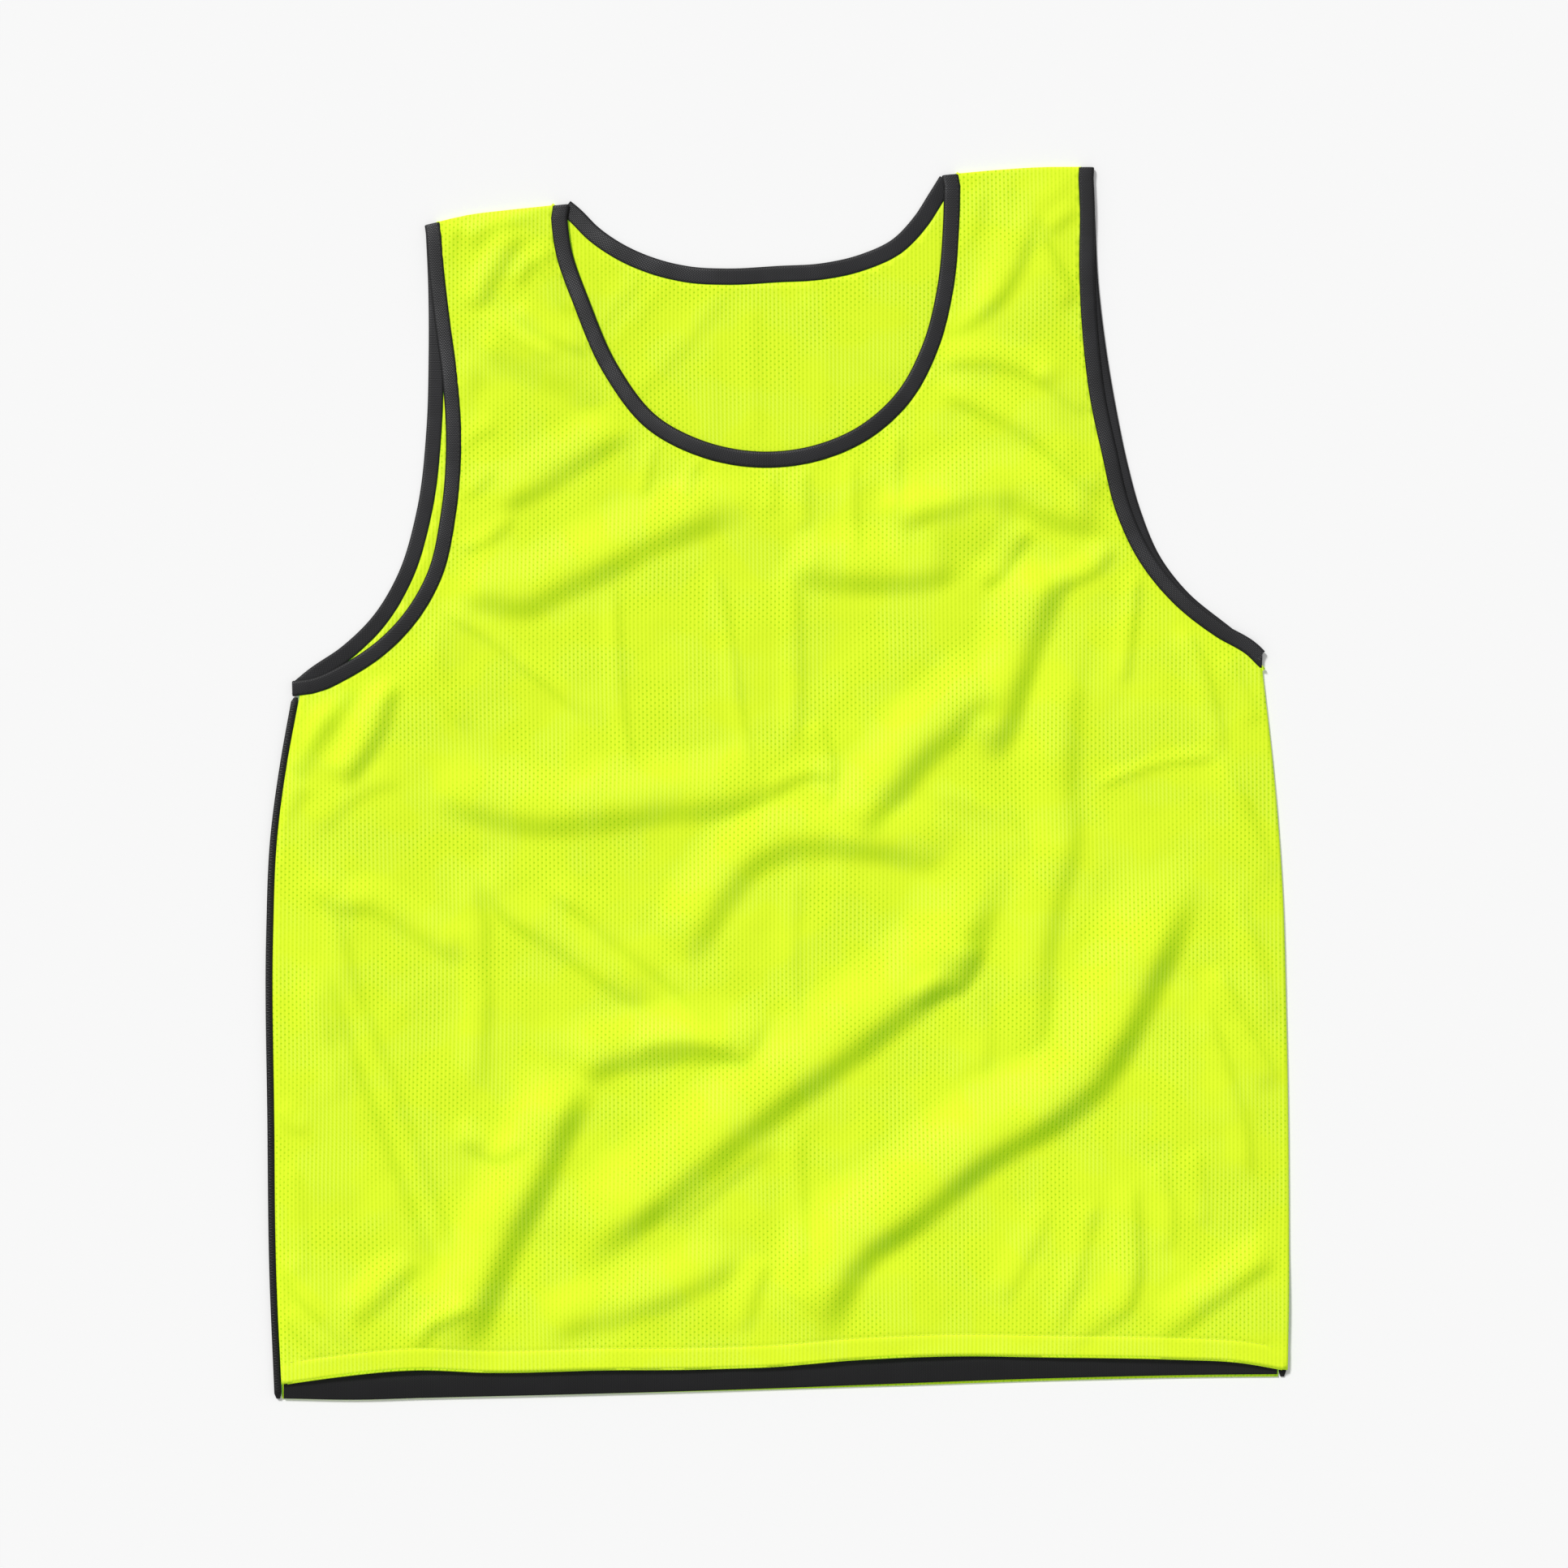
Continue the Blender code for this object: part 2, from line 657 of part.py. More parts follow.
def armhole_binding_left():
    """The ring of binding round the left armhole."""
    shoulder = shoulder_bend(SHOULDER_LEFT[0], SHOULDER_LEFT[1], ARM_CORNER_GAP, ARM_BINDING_WIDTH, False)
    under = bend(ARM_FOLD_LEFT.seam, ARM_FOLD_LEFT.edge, ARM_FOLD_LEFT.outward, True)
    return binding_ring(
        Curve(FRONT_ARM_LEFT).spread(ARM_STEPS),
        Curve(BACK_ARM_LEFT).spread(BACK_ARM_STEPS)[::-1],
        ARM_BINDING_WIDTH, under, shoulder,
    )


def armhole_binding_right():
    """The ring of binding round the right armhole."""
    shoulder = shoulder_bend(SHOULDER_RIGHT[-1], SHOULDER_RIGHT[-2], ARM_CORNER_GAP, ARM_BINDING_WIDTH, True)
    under = bend(ARM_FOLD_RIGHT.seam, ARM_FOLD_RIGHT.edge, ARM_FOLD_RIGHT.outward, False)
    return binding_ring(
        Curve(FRONT_ARM_RIGHT).spread(ARM_STEPS)[::-1],
        Curve(BACK_ARM_RIGHT).spread(BACK_ARM_STEPS),
        ARM_BINDING_WIDTH, shoulder, under,
    )


def plain_material(name, colour, roughness):
    """A material of one colour."""
    material = bpy.data.materials.new(name)
    material.use_nodes = True
    shader = material.node_tree.nodes["Principled BSDF"]
    shader.inputs["Base Color"].default_value = (*colour, 1.0)
    shader.inputs["Roughness"].default_value = roughness
    shader.inputs["Metallic"].default_value = 0.0
    return material


def add_piece(name, shape, centre, material):
    """Adds a piece's mesh to the scene, closed and facing out, moved so that the bib is centred over the origin."""
    vertices, faces = shape
    mesh = bpy.data.meshes.new(name)
    mesh.from_pydata(((vertices - centre) * MM).tolist(), [], faces)
    shaped = bmesh.new()
    shaped.from_mesh(mesh)
    bmesh.ops.recalc_face_normals(shaped, faces=shaped.faces)
    shaped.to_mesh(mesh)
    shaped.free()
    mesh.materials.append(material)
    piece = bpy.data.objects.new(name, mesh)
    bpy.context.scene.collection.objects.link(piece)


def main():
    """Clears the scene and builds the bib."""
    for old in list(bpy.data.objects):
        bpy.data.objects.remove(old, do_unlink=True)
    yellow = plain_material("mesh cloth", (0.72, 0.92, 0.03), 0.7)
    black = plain_material("binding cloth", (0.02, 0.02, 0.022), 0.5)
    pieces = (
        ("front_panel", front_panel(), yellow),
        ("back_panel", back_panel(), yellow),
        ("neck_binding", neck_binding(), black),
        ("armhole_binding_left", armhole_binding_left(), black),
        ("armhole_binding_right", armhole_binding_right(), black),
        ("side_piping_left", piping_left(), black),
        ("side_piping_right", piping_right(), black),
        ("hem_tape", hem_tape(), black),
    )
    everything = np.vstack([shape[0] for _, shape, _ in pieces])
    centre = (everything.min(axis=0) + everything.max(axis=0)) / 2
    centre[2] = 0.0
    for name, shape, material in pieces:
        add_piece(name, shape, centre, material)


main()
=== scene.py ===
"""A mesh training bib laid flat with its front up, dressed with its cloth, bindings, tape and stitches.

Lengths are in millimetres on the flat pattern, with x to the right, y from the hem to the neck and z up, unless a
name says metres. The pattern's own middle is worked out from the frame, and each mesh is moved by it and turned
into metres when it is made.
"""

import logging
import math
from collections.abc import Callable, Sequence
from dataclasses import dataclass
from enum import Enum

import bpy
import numpy as np
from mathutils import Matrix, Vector, noise
from mathutils.geometry import delaunay_2d_cdt
from mathutils.kdtree import KDTree


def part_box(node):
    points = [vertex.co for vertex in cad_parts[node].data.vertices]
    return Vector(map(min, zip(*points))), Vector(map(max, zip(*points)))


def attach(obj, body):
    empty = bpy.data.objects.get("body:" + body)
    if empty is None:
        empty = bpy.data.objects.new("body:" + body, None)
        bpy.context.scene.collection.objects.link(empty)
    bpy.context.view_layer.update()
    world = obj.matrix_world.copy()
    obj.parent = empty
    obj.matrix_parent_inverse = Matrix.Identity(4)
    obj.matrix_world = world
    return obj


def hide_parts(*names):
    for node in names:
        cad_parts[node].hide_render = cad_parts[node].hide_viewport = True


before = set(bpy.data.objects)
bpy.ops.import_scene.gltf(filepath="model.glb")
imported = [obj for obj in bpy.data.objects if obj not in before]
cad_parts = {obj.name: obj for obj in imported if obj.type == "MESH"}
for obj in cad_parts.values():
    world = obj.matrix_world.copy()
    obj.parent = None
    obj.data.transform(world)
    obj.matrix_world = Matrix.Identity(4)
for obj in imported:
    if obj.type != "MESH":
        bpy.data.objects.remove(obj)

LOG = logging.getLogger("bib")
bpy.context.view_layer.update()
MM = 0.001
BODY = "root"
UV_NAME = "flat cloth"
BAND_NAME = "turned band"
# The knit's darkening on the folds' steep sides: partly the knit pulled open, partly painted shade.
PULL_AND_SHADE_NAME = "pulled knit and painted shade"
Point = tuple[float, float]
Colour = tuple[float, float, float]
Measure = Callable[[np.ndarray], np.ndarray]

# How the layers lie on each other
BACK_LEVEL = 0.6
FRONT_LEVEL = 2.1
MEETING_LEVEL = (FRONT_LEVEL + BACK_LEVEL) / 2
LAYER_RADIUS = (FRONT_LEVEL - BACK_LEVEL) / 2
SEAM_GAP = 0.3
PIPING_WIDTH = 4.2

# Modelling
SAME_POINT = 0.05
SEAM_STEP = 8.0
SHARP_EDGE = 50.0
SECTION_POINTS = 16
BINDING_STEP = 2.4
BEND_STEPS = 13
BEND_INSET = 1.35

# The frame's own steps along the outlines that set the pattern's middle
SIDE_STEPS_OF_FRAME = 24
HEM_STEPS_OF_FRAME = 12

# Outlines of the panels, from left to right and from the hem up
FRONT_HEM = (
    (-284.6, 2.3), (-260, 6), (-209, 11), (-167, 9.5), (-98, 11), (-46, 11.3), (0, 13),
    (33, 16), (88, 18.7), (158, 18.2), (228, 17), (265, 15), (291.2, 10.3),
)
BACK_HEM = (
    (-284.6, -6.3), (-242, -7), (-205, -6), (-121, -4), (0, -1), (65, 1), (158, 4), (251, 6), (286.1, 6.3),
)
SIDE_LEFT = (
    (-289.2, -6.3), (-292.3, 70), (-293.3, 150), (-294, 260), (-291.6, 316), (-286, 358), (-279.2, 396.2),
)
SIDE_RIGHT = (
    (291.2, 6.3), (292, 51), (292, 121), (290.6, 214), (288.3, 288), (283.7, 349), (276.9, 410.8),
)
SHOULDER_LEFT = ((-194.2, 668.3), (-180, 671.6), (-155, 674.8), (-131, 677.3))
SHOULDER_RIGHT = ((103.8, 695.8), (125, 697.7), (150, 699.3), (171.2, 699.5))
FRONT_NECK = (
    (-131, 677.3), (-130.4, 668), (-128.3, 652), (-117.5, 620), (-100, 580.5), (-75, 549), (-48, 534.5),
    (-12, 527.3), (22, 531), (52, 544), (75, 565), (91, 595), (99.5, 628), (103.2, 668), (103.8, 695.8),
)
BACK_NECK = (
    (-131, 677.3), (-120.5, 669), (-110, 658.5), (-95, 648), (-75, 639), (-52, 633.5), (-30, 632.3),
    (0, 633.8), (25, 635.3), (50, 641), (70, 650.5), (85, 666), (94, 680), (103.8, 695.8),
)
FRONT_ARM_LEFT = (
    (-274.7, 396.2), (-262, 399.3), (-245, 407.5), (-225, 421), (-207, 440), (-193.5, 464), (-185.3, 500),
    (-182.2, 543), (-184.5, 580), (-188.5, 610), (-192, 640), (-194.2, 668.3),
)
BACK_ARM_LEFT = (
    (-274.7, 396.2), (-265.6, 404), (-245.3, 418), (-226, 437), (-211, 462), (-199.5, 500), (-193.5, 550),
    (-192.3, 590), (-192.5, 630), (-194.2, 668.3),
)
FRONT_ARM_RIGHT = (
    (276.9, 410.8), (268, 420), (251, 430), (225.5, 450), (205.5, 475), (193.7, 500), (184.5, 537),
    (178.5, 565), (174, 602), (172, 640), (172.3, 675), (171.2, 699.5),
)
BACK_ARM_RIGHT = (
    (270.9, 415.9), (251, 431), (228, 450), (211, 472), (199, 500), (191.5, 527), (185, 558), (178.5, 597),
    (174.2, 635), (172.6, 670), (171.2, 699.5),
)


def ramp(share: np.ndarray) -> np.ndarray:
    """A smooth rise from 0 to 1 as the share goes from 0 to 1."""
    return 0.5 - 0.5 * np.cos(np.pi * np.clip(share, 0.0, 1.0))


def left_normals(line: np.ndarray) -> np.ndarray:
    """The unit vectors across a line at its points, pointing to the left of the way along it.

    Args:
        line: the points of the line.

    Returns:
        An (x, y) vector for each point.
    """
    along = np.gradient(line[:, :2], axis=0)
    along /= np.linalg.norm(along, axis=1, keepdims=True)
    return np.stack([-along[:, 1], along[:, 0]], axis=1)


class Line:
    """A smooth line through given points, read by its share of length."""

    CURVE_STEPS = 12

    def __init__(self, points: Sequence[Point]) -> None:
        """Draws the line through the points.

        Args:
            points: the (x, y) points that the line passes through.
        """
        knots = np.array(points, float)
        chord = np.linalg.norm(np.diff(knots, axis=0), axis=1)
        slopes = np.diff(knots, axis=0) / chord[:, None]
        tangents = np.vstack([slopes[:1], slopes[-1:]])
        if len(knots) > 2:
            before = chord[:-1, None]
            after = chord[1:, None]
            middle = (slopes[:-1] * after + slopes[1:] * before) / (before + after)
            tangents = np.vstack([slopes[:1], middle, slopes[-1:]])
        t = np.linspace(0, 1, self.CURVE_STEPS, endpoint=False)[:, None]
        pieces = []
        for i, span in enumerate(chord):
            pieces.append(
                (2 * t**3 - 3 * t**2 + 1) * knots[i]
                + (t**3 - 2 * t**2 + t) * span * tangents[i]
                + (3 * t**2 - 2 * t**3) * knots[i + 1]
                + (t**3 - t**2) * span * tangents[i + 1]
            )
        self.points = np.vstack(pieces + [knots[-1:]])
        steps = np.linalg.norm(np.diff(self.points, axis=0), axis=1)
        self.lengths = np.concatenate([[0.0], np.cumsum(steps)])

    @property
    def length(self) -> float:
        """The line's whole length."""
        return float(self.lengths[-1])

    def spread(self, steps: int) -> np.ndarray:
        """The points that part the line into so many equal steps.

        Args:
            steps: how many.

        Returns:
            The (x, y) points, both ends included.
        """
        wanted = np.linspace(0, self.length, steps + 1)
        x = np.interp(wanted, self.lengths, self.points[:, 0])
        y = np.interp(wanted, self.lengths, self.points[:, 1])
        return np.stack([x, y], axis=-1)

    def every(self, spacing: float) -> np.ndarray:
        """Points along the line about so far apart."""
        return self.spread(max(2, round(self.length / spacing)))


def beside(points: np.ndarray, line: np.ndarray) -> tuple[np.ndarray, np.ndarray]:
    """Where points lie beside a line.

    Args:
        points: an array of (x, y) points.
        line: the points of the line.

    Returns:
        Their distances from the line, positive on its left, and the length along the line to the place beside
        them.
    """
    spans = np.diff(line, axis=0)
    lengths = np.linalg.norm(spans, axis=1)
    passed = np.concatenate([[0.0], np.cumsum(lengths)])
    best = np.full(len(points), np.inf)
    side = np.zeros(len(points))
    along = np.zeros(len(points))
    for start, span, length, done in zip(line[:-1], spans, lengths, passed):
        reach = points - start
        share = np.clip(reach @ span / length**2, 0, 1)
        away = np.linalg.norm(reach - share[:, None] * span, axis=1)
        nearer = away < best
        best = np.where(nearer, away, best)
        turn = np.sign(span[0] * reach[:, 1] - span[1] * reach[:, 0])
        side = np.where(nearer, turn, side)
        along = np.where(nearer, done + share * length, along)
    return side * best, along


def near_box(points: np.ndarray, line: np.ndarray, reach: float) -> np.ndarray:
    """Which points lie within reach of a line's box.

    Args:
        points: an array of (x, y) points.
        line: the points of the line.
        reach: how far outside its box still counts.

    Returns:
        True or false for each point.
    """
    low = line.min(axis=0) - reach
    high = line.max(axis=0) + reach
    return np.all((points > low) & (points < high), axis=1)


@dataclass(frozen=True)
class Fold:
    """A fold of the cloth.

    The line is the middle of its steep side. Its crest and its gentle side are on the left, going along the line.
    Its steep side darkens the knit: partly the knit pulled open, partly painted shade.
    """

    name: str
    height: float
    steep: float
    gentle: float
    line: tuple[Point, ...]

    END_SHARE = 0.18
    SWAY = 0.14
    STEPS = 24
    FULL_PULL_AND_SHADE = 0.5

    def shape(self, points: np.ndarray) -> tuple[np.ndarray, np.ndarray]:
        """How the fold lies at points.

        Args:
            points: an array of (x, y) points.

        Returns:
            How high it lifts the cloth there, and how far its steep side darkens the knit, partly pulled open and
            partly painted shade, from 0 to 1.
        """
        line = Line(self.line)
        risen = np.zeros(len(points))
        pull_and_shade = np.zeros(len(points))
        near = near_box(points, line.points, self.steep + self.gentle)
        if near.any():
            away, along = beside(points[near], line.spread(self.STEPS))
            share = along / line.length
            up = ramp(away / self.steep + 0.5)
            down = ramp((away - self.steep / 2) / self.gentle)
            ends = ramp(share / self.END_SHARE) * ramp((1 - share) / self.END_SHARE)
            ends *= 1 - self.SWAY * (0.5 + 0.5 * np.sin(along / 9.0 + self.height * 5.0 + self.line[0][0]))
            risen[near] = self.height * up * (1 - down) * ends
            # Darkening on the steep side: partly the knit pulled open, partly painted shade.
            steepness = min(self.height / self.steep / self.FULL_PULL_AND_SHADE, 1.0)
            pull_and_shade[near] = 4 * up * (1 - up) * ends * steepness
        return risen, pull_and_shade


# The largest folds of the front, as its solid has them
FOLDS = (
    Fold("right sweep", 9.0, 20, 40, (
        (12, 12), (30, 36), (46, 70), (80, 96), (118, 128), (160, 153), (184, 173), (208, 216), (226, 256),
        (244, 304),
    )),
    Fold("middle sweep", 8.0, 20, 38, (
        (-124, 64), (-84, 91), (-46, 120), (-9, 152), (42, 190), (86, 224), (104, 238), (116, 264),
        (130, 302),
    )),
    Fold("left lower", 8.0, 19, 32, (
        (-178, 12), (-168, 42), (-152, 82), (-136, 114), (-122, 146), (-106, 180),
    )),
    Fold("left shelf", 5.2, 17, 28, (
        (-116, 172), (-100, 182), (-74, 188), (-48, 191), (-26, 188), (-6, 182),
    )),
    Fold("waist line", 5.0, 19, 30, (
        (-210, 342), (-185, 332), (-155, 323), (-130, 321), (-100, 324), (-60, 329), (-25, 333), (0, 342),
        (18, 350),
    )),
    Fold("centre hook", 5.0, 18, 28, (
        (-54, 238), (-40, 262), (-26, 284), (-10, 301), (10, 308), (40, 308), (70, 304), (100, 296),
    )),
    Fold("chest diagonal", 7.0, 20, 30, (
        (44, 306), (64, 335), (84, 360), (100, 374), (116, 387), (136, 400),
    )),
    Fold("chest rise", 6.5, 18, 28, ((118, 356), (130, 374), (138, 398), (146, 422), (155, 448), (166, 472))),
    Fold("chest line", 4.8, 18, 28, ((0, 467), (24, 462), (55, 460), (85, 462), (108, 470))),
    Fold("right chest top", 3.6, 16, 28, (
        (62, 488), (90, 500), (118, 508), (134, 507), (150, 499), (168, 493), (194, 492),
    )),
    Fold("left chest diagonal", 4.8, 18, 28, (
        (-194, 456), (-165, 449), (-145, 446), (-125, 455), (-100, 467), (-70, 482), (-40, 494), (-14, 502),
    )),
    Fold("left upper diagonal", 3.2, 14, 22, ((-164, 502), (-140, 512), (-116, 527), (-96, 539), (-76, 550))),
    Fold("right column", 3.2, 15, 26, (
        (156, 176), (153, 212), (155, 250), (162, 282), (170, 312), (168, 346), (170, 386), (178, 434),
    )),
    Fold("armpit pleat", 4.6, 14, 16, ((-279, 343), (-268, 364), (-256, 382), (-240, 406))),
    Fold("armpit second pleat", 4.0, 12, 15, ((-250, 342), (-237, 360), (-226, 380), (-218, 408))),
    Fold("left slope", 2.6, 12, 26, (
        (-192, 60), (-206, 92), (-216, 118), (-229, 152), (-241, 184), (-252, 218), (-264, 252),
    )),
    Fold("left cross crease", 2.8, 12, 20, ((-178, 304), (-160, 272), (-128, 251), (-100, 231), (-70, 212))),
    Fold("hem pleat left", 2.8, 13, 17, ((-246, 34), (-232, 45), (-220, 57), (-202, 74))),
    Fold("hem pleat middle", 3.4, 16, 24, (
        (-140, 26), (-118, 33), (-94, 38), (-62, 50), (-38, 61), (-16, 76),
    )),
    Fold("hem pleat right", 3.2, 12, 18, ((212, 30), (230, 34), (242, 43), (256, 53), (270, 63), (290, 74))),
    Fold("right hook", 2.4, 9, 18, ((168, 26), (186, 35), (200, 45), (206, 62), (206, 90), (204, 122))),
    Fold("strap crease left", 3.0, 22, 18, ((-178, 596), (-156, 587), (-130, 576), (-96, 560))),
    Fold("strap crease right", 3.0, 11, 20, (
        (92, 600), (108, 608), (126, 622), (138, 642), (147, 666), (152, 676),
    )),
)

# The finer creases of the front, over its folds
CREASES = (
    # The two sides
    Fold("right side rise", 1.6, 9, 14, ((290, 172), (278, 192), (266, 214), (252, 246))),
    Fold("right side low", 1.4, 8, 12, ((272, 112), (268, 150), (258, 184), (244, 224))),
    Fold("right side high", 1.0, 8, 12, ((288, 208), (276, 250), (262, 290))),
    Fold("right side bend", 1.2, 8, 12, ((288, 288), (274, 322), (262, 348), (252, 366))),
    Fold("right armpit line", 1.4, 7, 12, ((258, 362), (252, 386), (245, 410), (233, 440))),
    Fold("right armpit second", 0.9, 7, 10, ((277, 380), (268, 400), (258, 424))),
    Fold("left slope second", 1.6, 10, 14, (
        (-183, 56), (-190, 92), (-200, 120), (-212, 152), (-226, 190), (-242, 232), (-250, 262), (-262, 296),
    )),
    Fold("left slope third", 0.8, 8, 12, ((-248, 160), (-256, 200), (-266, 236))),
    Fold("left side faint", 0.8, 9, 12, ((-270, 60), (-272, 96), (-276, 134))),
    Fold("left side bend", 1.0, 8, 12, ((-290, 160), (-280, 148), (-268, 146))),
    Fold("left shoulder of slope", 2.4, 13, 16, (
        (-276, 292), (-252, 274), (-232, 273), (-216, 264), (-200, 254), (-176, 241),
    )),
    Fold("left column", 1.8, 10, 14, (
        (-167, 164), (-168, 196), (-166, 222), (-168, 244), (-167, 262), (-172, 286), (-176, 306),
    )),
    Fold("left edge shade", 1.4, 12, 12, ((-288, 322), (-278, 332), (-268, 346))),
    Fold("left waist faint", 1.0, 9, 14, ((-262, 316), (-250, 330), (-236, 340), (-214, 346))),
    # Across the left
    Fold("cross crease second", 1.9, 10, 14, (
        (-140, 288), (-116, 272), (-94, 254), (-74, 239), (-58, 226), (-40, 206),
    )),
    Fold("left low cross", 1.7, 9, 13, ((-188, 144), (-172, 134), (-162, 131), (-150, 135), (-142, 142))),
    Fold("left low cross foot", 0.9, 7, 10, ((-186, 152), (-179, 142), (-170, 136))),
    Fold("left chest cross", 1.3, 6, 10, (
        (-198, 446), (-184, 438), (-168, 429), (-146, 411), (-130, 399), (-110, 381),
    )),
    Fold("left chest cross second", 1.0, 7, 10, (
        (-201, 446), (-202, 424), (-199, 404), (-190, 388), (-176, 372),
    )),
    # Lines from the packing
    Fold("left packing line", 1.2, 6, 9, ((-79, 352), (-85, 370), (-89, 400), (-91, 432), (-93, 466))),
    Fold("middle packing line", 1.1, 6, 9, ((-12, 350), (-19, 380), (-25, 420), (-32, 456), (-40, 478))),
    Fold("right packing line", 1.6, 6, 9, ((199, 400), (202, 424), (205, 448), (207, 470))),
    Fold("centre packing line high", 1.5, 8, 12, ((11, 362), (13, 400), (12, 440), (9, 476))),
    Fold("centre packing line middle", 0.9, 8, 12, ((13, 200), (11, 250), (13, 300))),
    Fold("centre packing line low", 1.3, 8, 12, ((14, 56), (15, 100), (13, 152))),
    Fold("right cross ridge", 1.1, 5, 6, ((180, 342), (200, 350), (222, 357), (255, 360))),
    # Beside the great sweeps
    Fold("middle sweep shoulder", 1.8, 11, 14, ((-66, 91), (-46, 104), (-26, 120), (0, 142))),
    Fold("sweep kink", 2.6, 9, 12, ((76, 216), (92, 226), (104, 228), (112, 240), (118, 258))),
    Fold("chest end", 2.4, 9, 14, ((114, 458), (126, 464), (136, 478), (146, 492))),
    Fold("chest patch", 3.2, 32, 18, ((60, 482), (88, 486), (112, 484), (140, 488))),
    Fold("armpit fold", 2.4, 9, 13, ((156, 456), (170, 461), (182, 467), (194, 482))),
    Fold("left shelf top", 1.6, 8, 12, ((-84, 191), (-64, 196), (-44, 195), (-24, 190))),
    Fold("hook foot", 1.3, 7, 12, ((24, 330), (32, 344), (31, 362), (22, 386))),
    Fold("waist end", 1.4, 7, 10, ((-6, 338), (6, 346), (20, 350), (34, 346))),
    Fold("hook arch", 1.0, 8, 12, ((144, 300), (140, 318), (128, 334), (108, 342), (86, 346))),
    Fold("hem inside the sweep", 1.6, 9, 14, ((-18, 30), (-12, 54), (-4, 74))),
    Fold("right belly line", 1.1, 9, 14, ((128, 44), (140, 66), (150, 86), (158, 108))),
    Fold("right belly second", 1.2, 8, 12, ((158, 26), (166, 46), (175, 72), (184, 112))),
    Fold("right belly third", 1.0, 7, 11, ((226, 76), (226, 104), (218, 132))),
    Fold("right belly fourth", 0.8, 7, 11, ((247, 92), (244, 118), (240, 140))),
    Fold("belly faint", 0.8, 10, 16, ((118, 176), (122, 204), (116, 236))),
    # At the hem
    Fold("hem corner left", 1.6, 8, 12, ((-290, 76), (-276, 52), (-262, 38), (-244, 20))),
    Fold("hem corner left low", 1.1, 7, 10, ((-286, 44), (-276, 30), (-260, 17))),
    Fold("hem pleat second", 2.0, 8, 10, ((-210, 22), (-200, 32), (-188, 38), (-172, 46))),
    Fold("hem pleat third", 1.7, 7, 8, ((-204, 22), (-199, 30), (-194, 42))),
    # Gathers at the neck
    Fold("neck gather far left", 1.1, 6, 8, ((-76, 510), (-73, 524), (-69, 542))),
    Fold("neck gather left", 1.0, 6, 8, ((-53, 508), (-49, 520), (-44, 533))),
    Fold("neck gather centre", 0.8, 6, 8, ((-3, 500), (-2, 512), (-2, 525))),
    Fold("neck gather right", 1.3, 8, 10, ((18, 490), (17, 508), (17, 530))),
    Fold("neck gather third", 1.2, 7, 9, ((47, 476), (45, 500), (44, 536))),
    Fold("neck gather far right", 1.3, 7, 9, ((67, 496), (69, 520), (70, 552))),
    # On the left strap
    Fold("left strap top", 2.0, 12, 12, ((-178, 652), (-166, 661), (-154, 666), (-136, 672))),
    Fold("left strap edge", 1.6, 8, 10, ((-189, 640), (-187, 652), (-182, 668))),
    Fold("left strap rise", 2.4, 11, 12, ((-172, 614), (-164, 632), (-156, 645), (-146, 664))),
    Fold("left strap ring", 1.5, 7, 9, ((-148, 630), (-143, 640), (-134, 647), (-126, 650))),
    Fold("left strap near neck", 1.7, 8, 10, ((-142, 648), (-134, 636), (-128, 624), (-118, 614))),
    Fold("left strap pull", 2.0, 8, 11, ((-156, 618), (-142, 606), (-128, 599), (-106, 590))),
    Fold("left strap second pull", 1.1, 8, 11, ((-176, 614), (-158, 603), (-144, 595), (-126, 586))),
    Fold("left strap side", 1.6, 18, 14, ((-186, 560), (-176, 574), (-166, 582))),
    Fold("left chest blotch", 1.2, 7, 9, ((-184, 478), (-170, 482), (-158, 490), (-150, 500))),
    Fold("left chest blotch high", 1.0, 8, 10, ((-184, 508), (-172, 514), (-160, 526))),
    Fold("left chest blotch top", 1.0, 8, 10, ((-184, 534), (-172, 544), (-160, 548))),
    # On the right strap
    Fold("right strap apex", 2.2, 9, 12, ((174, 622), (164, 636), (157, 650), (149, 668))),
    Fold("right strap edge", 1.2, 7, 9, ((156, 660), (163, 667), (174, 674))),
    Fold("chest shade right", 1.9, 10, 14, ((90, 583), (110, 586), (132, 583), (148, 577), (160, 571))),
    Fold("chest shade right end", 1.4, 8, 11, ((142, 580), (154, 572), (166, 563), (176, 556))),
    Fold("chest shade right low", 2.2, 10, 15, (
        (86, 572), (104, 563), (122, 555), (138, 547), (152, 536), (168, 521), (192, 504),
    )),
    Fold("right strap faint", 0.8, 9, 12, ((104, 648), (114, 664), (120, 688))),
    Fold("right strap faint second", 0.7, 8, 10, ((131, 664), (133, 680), (134, 694))),
)

# The creases of the back, on the part that shows in the scoop of the neck
SCOOP_CREASES = (
    Fold("scoop diagonal", 0.75, 7, 12, ((-86, 562), (-66, 582), (-52, 597), (-40, 612), (-26, 632))),
    Fold("scoop diagonal second", 0.5, 6, 9, ((-96, 592), (-80, 611), (-60, 634))),
    Fold("scoop diagonal third", 0.6, 6, 9, ((-104, 604), (-90, 621), (-76, 636))),
    Fold("scoop cross", 0.8, 7, 12, ((74, 580), (60, 590), (48, 599), (36, 610), (26, 620), (12, 632))),
    Fold("scoop cross second", 0.45, 6, 9, ((78, 612), (62, 625), (46, 638))),
    Fold("scoop packing line", 0.6, 5, 12, ((-11, 538), (-12, 580), (-12, 630))),
    Fold("scoop left line", 0.3, 5, 10, ((-34, 542), (-36, 574), (-36, 606))),
    Fold("scoop right line", 0.3, 6, 12, ((30, 545), (30, 580), (30, 604))),
    Fold("scoop left corner", 0.6, 9, 10, ((-101, 618), (-106, 634), (-112, 658))),
    Fold("scoop left corner foot", 0.4, 6, 8, ((-104, 640), (-98, 642), (-90, 646))),
)


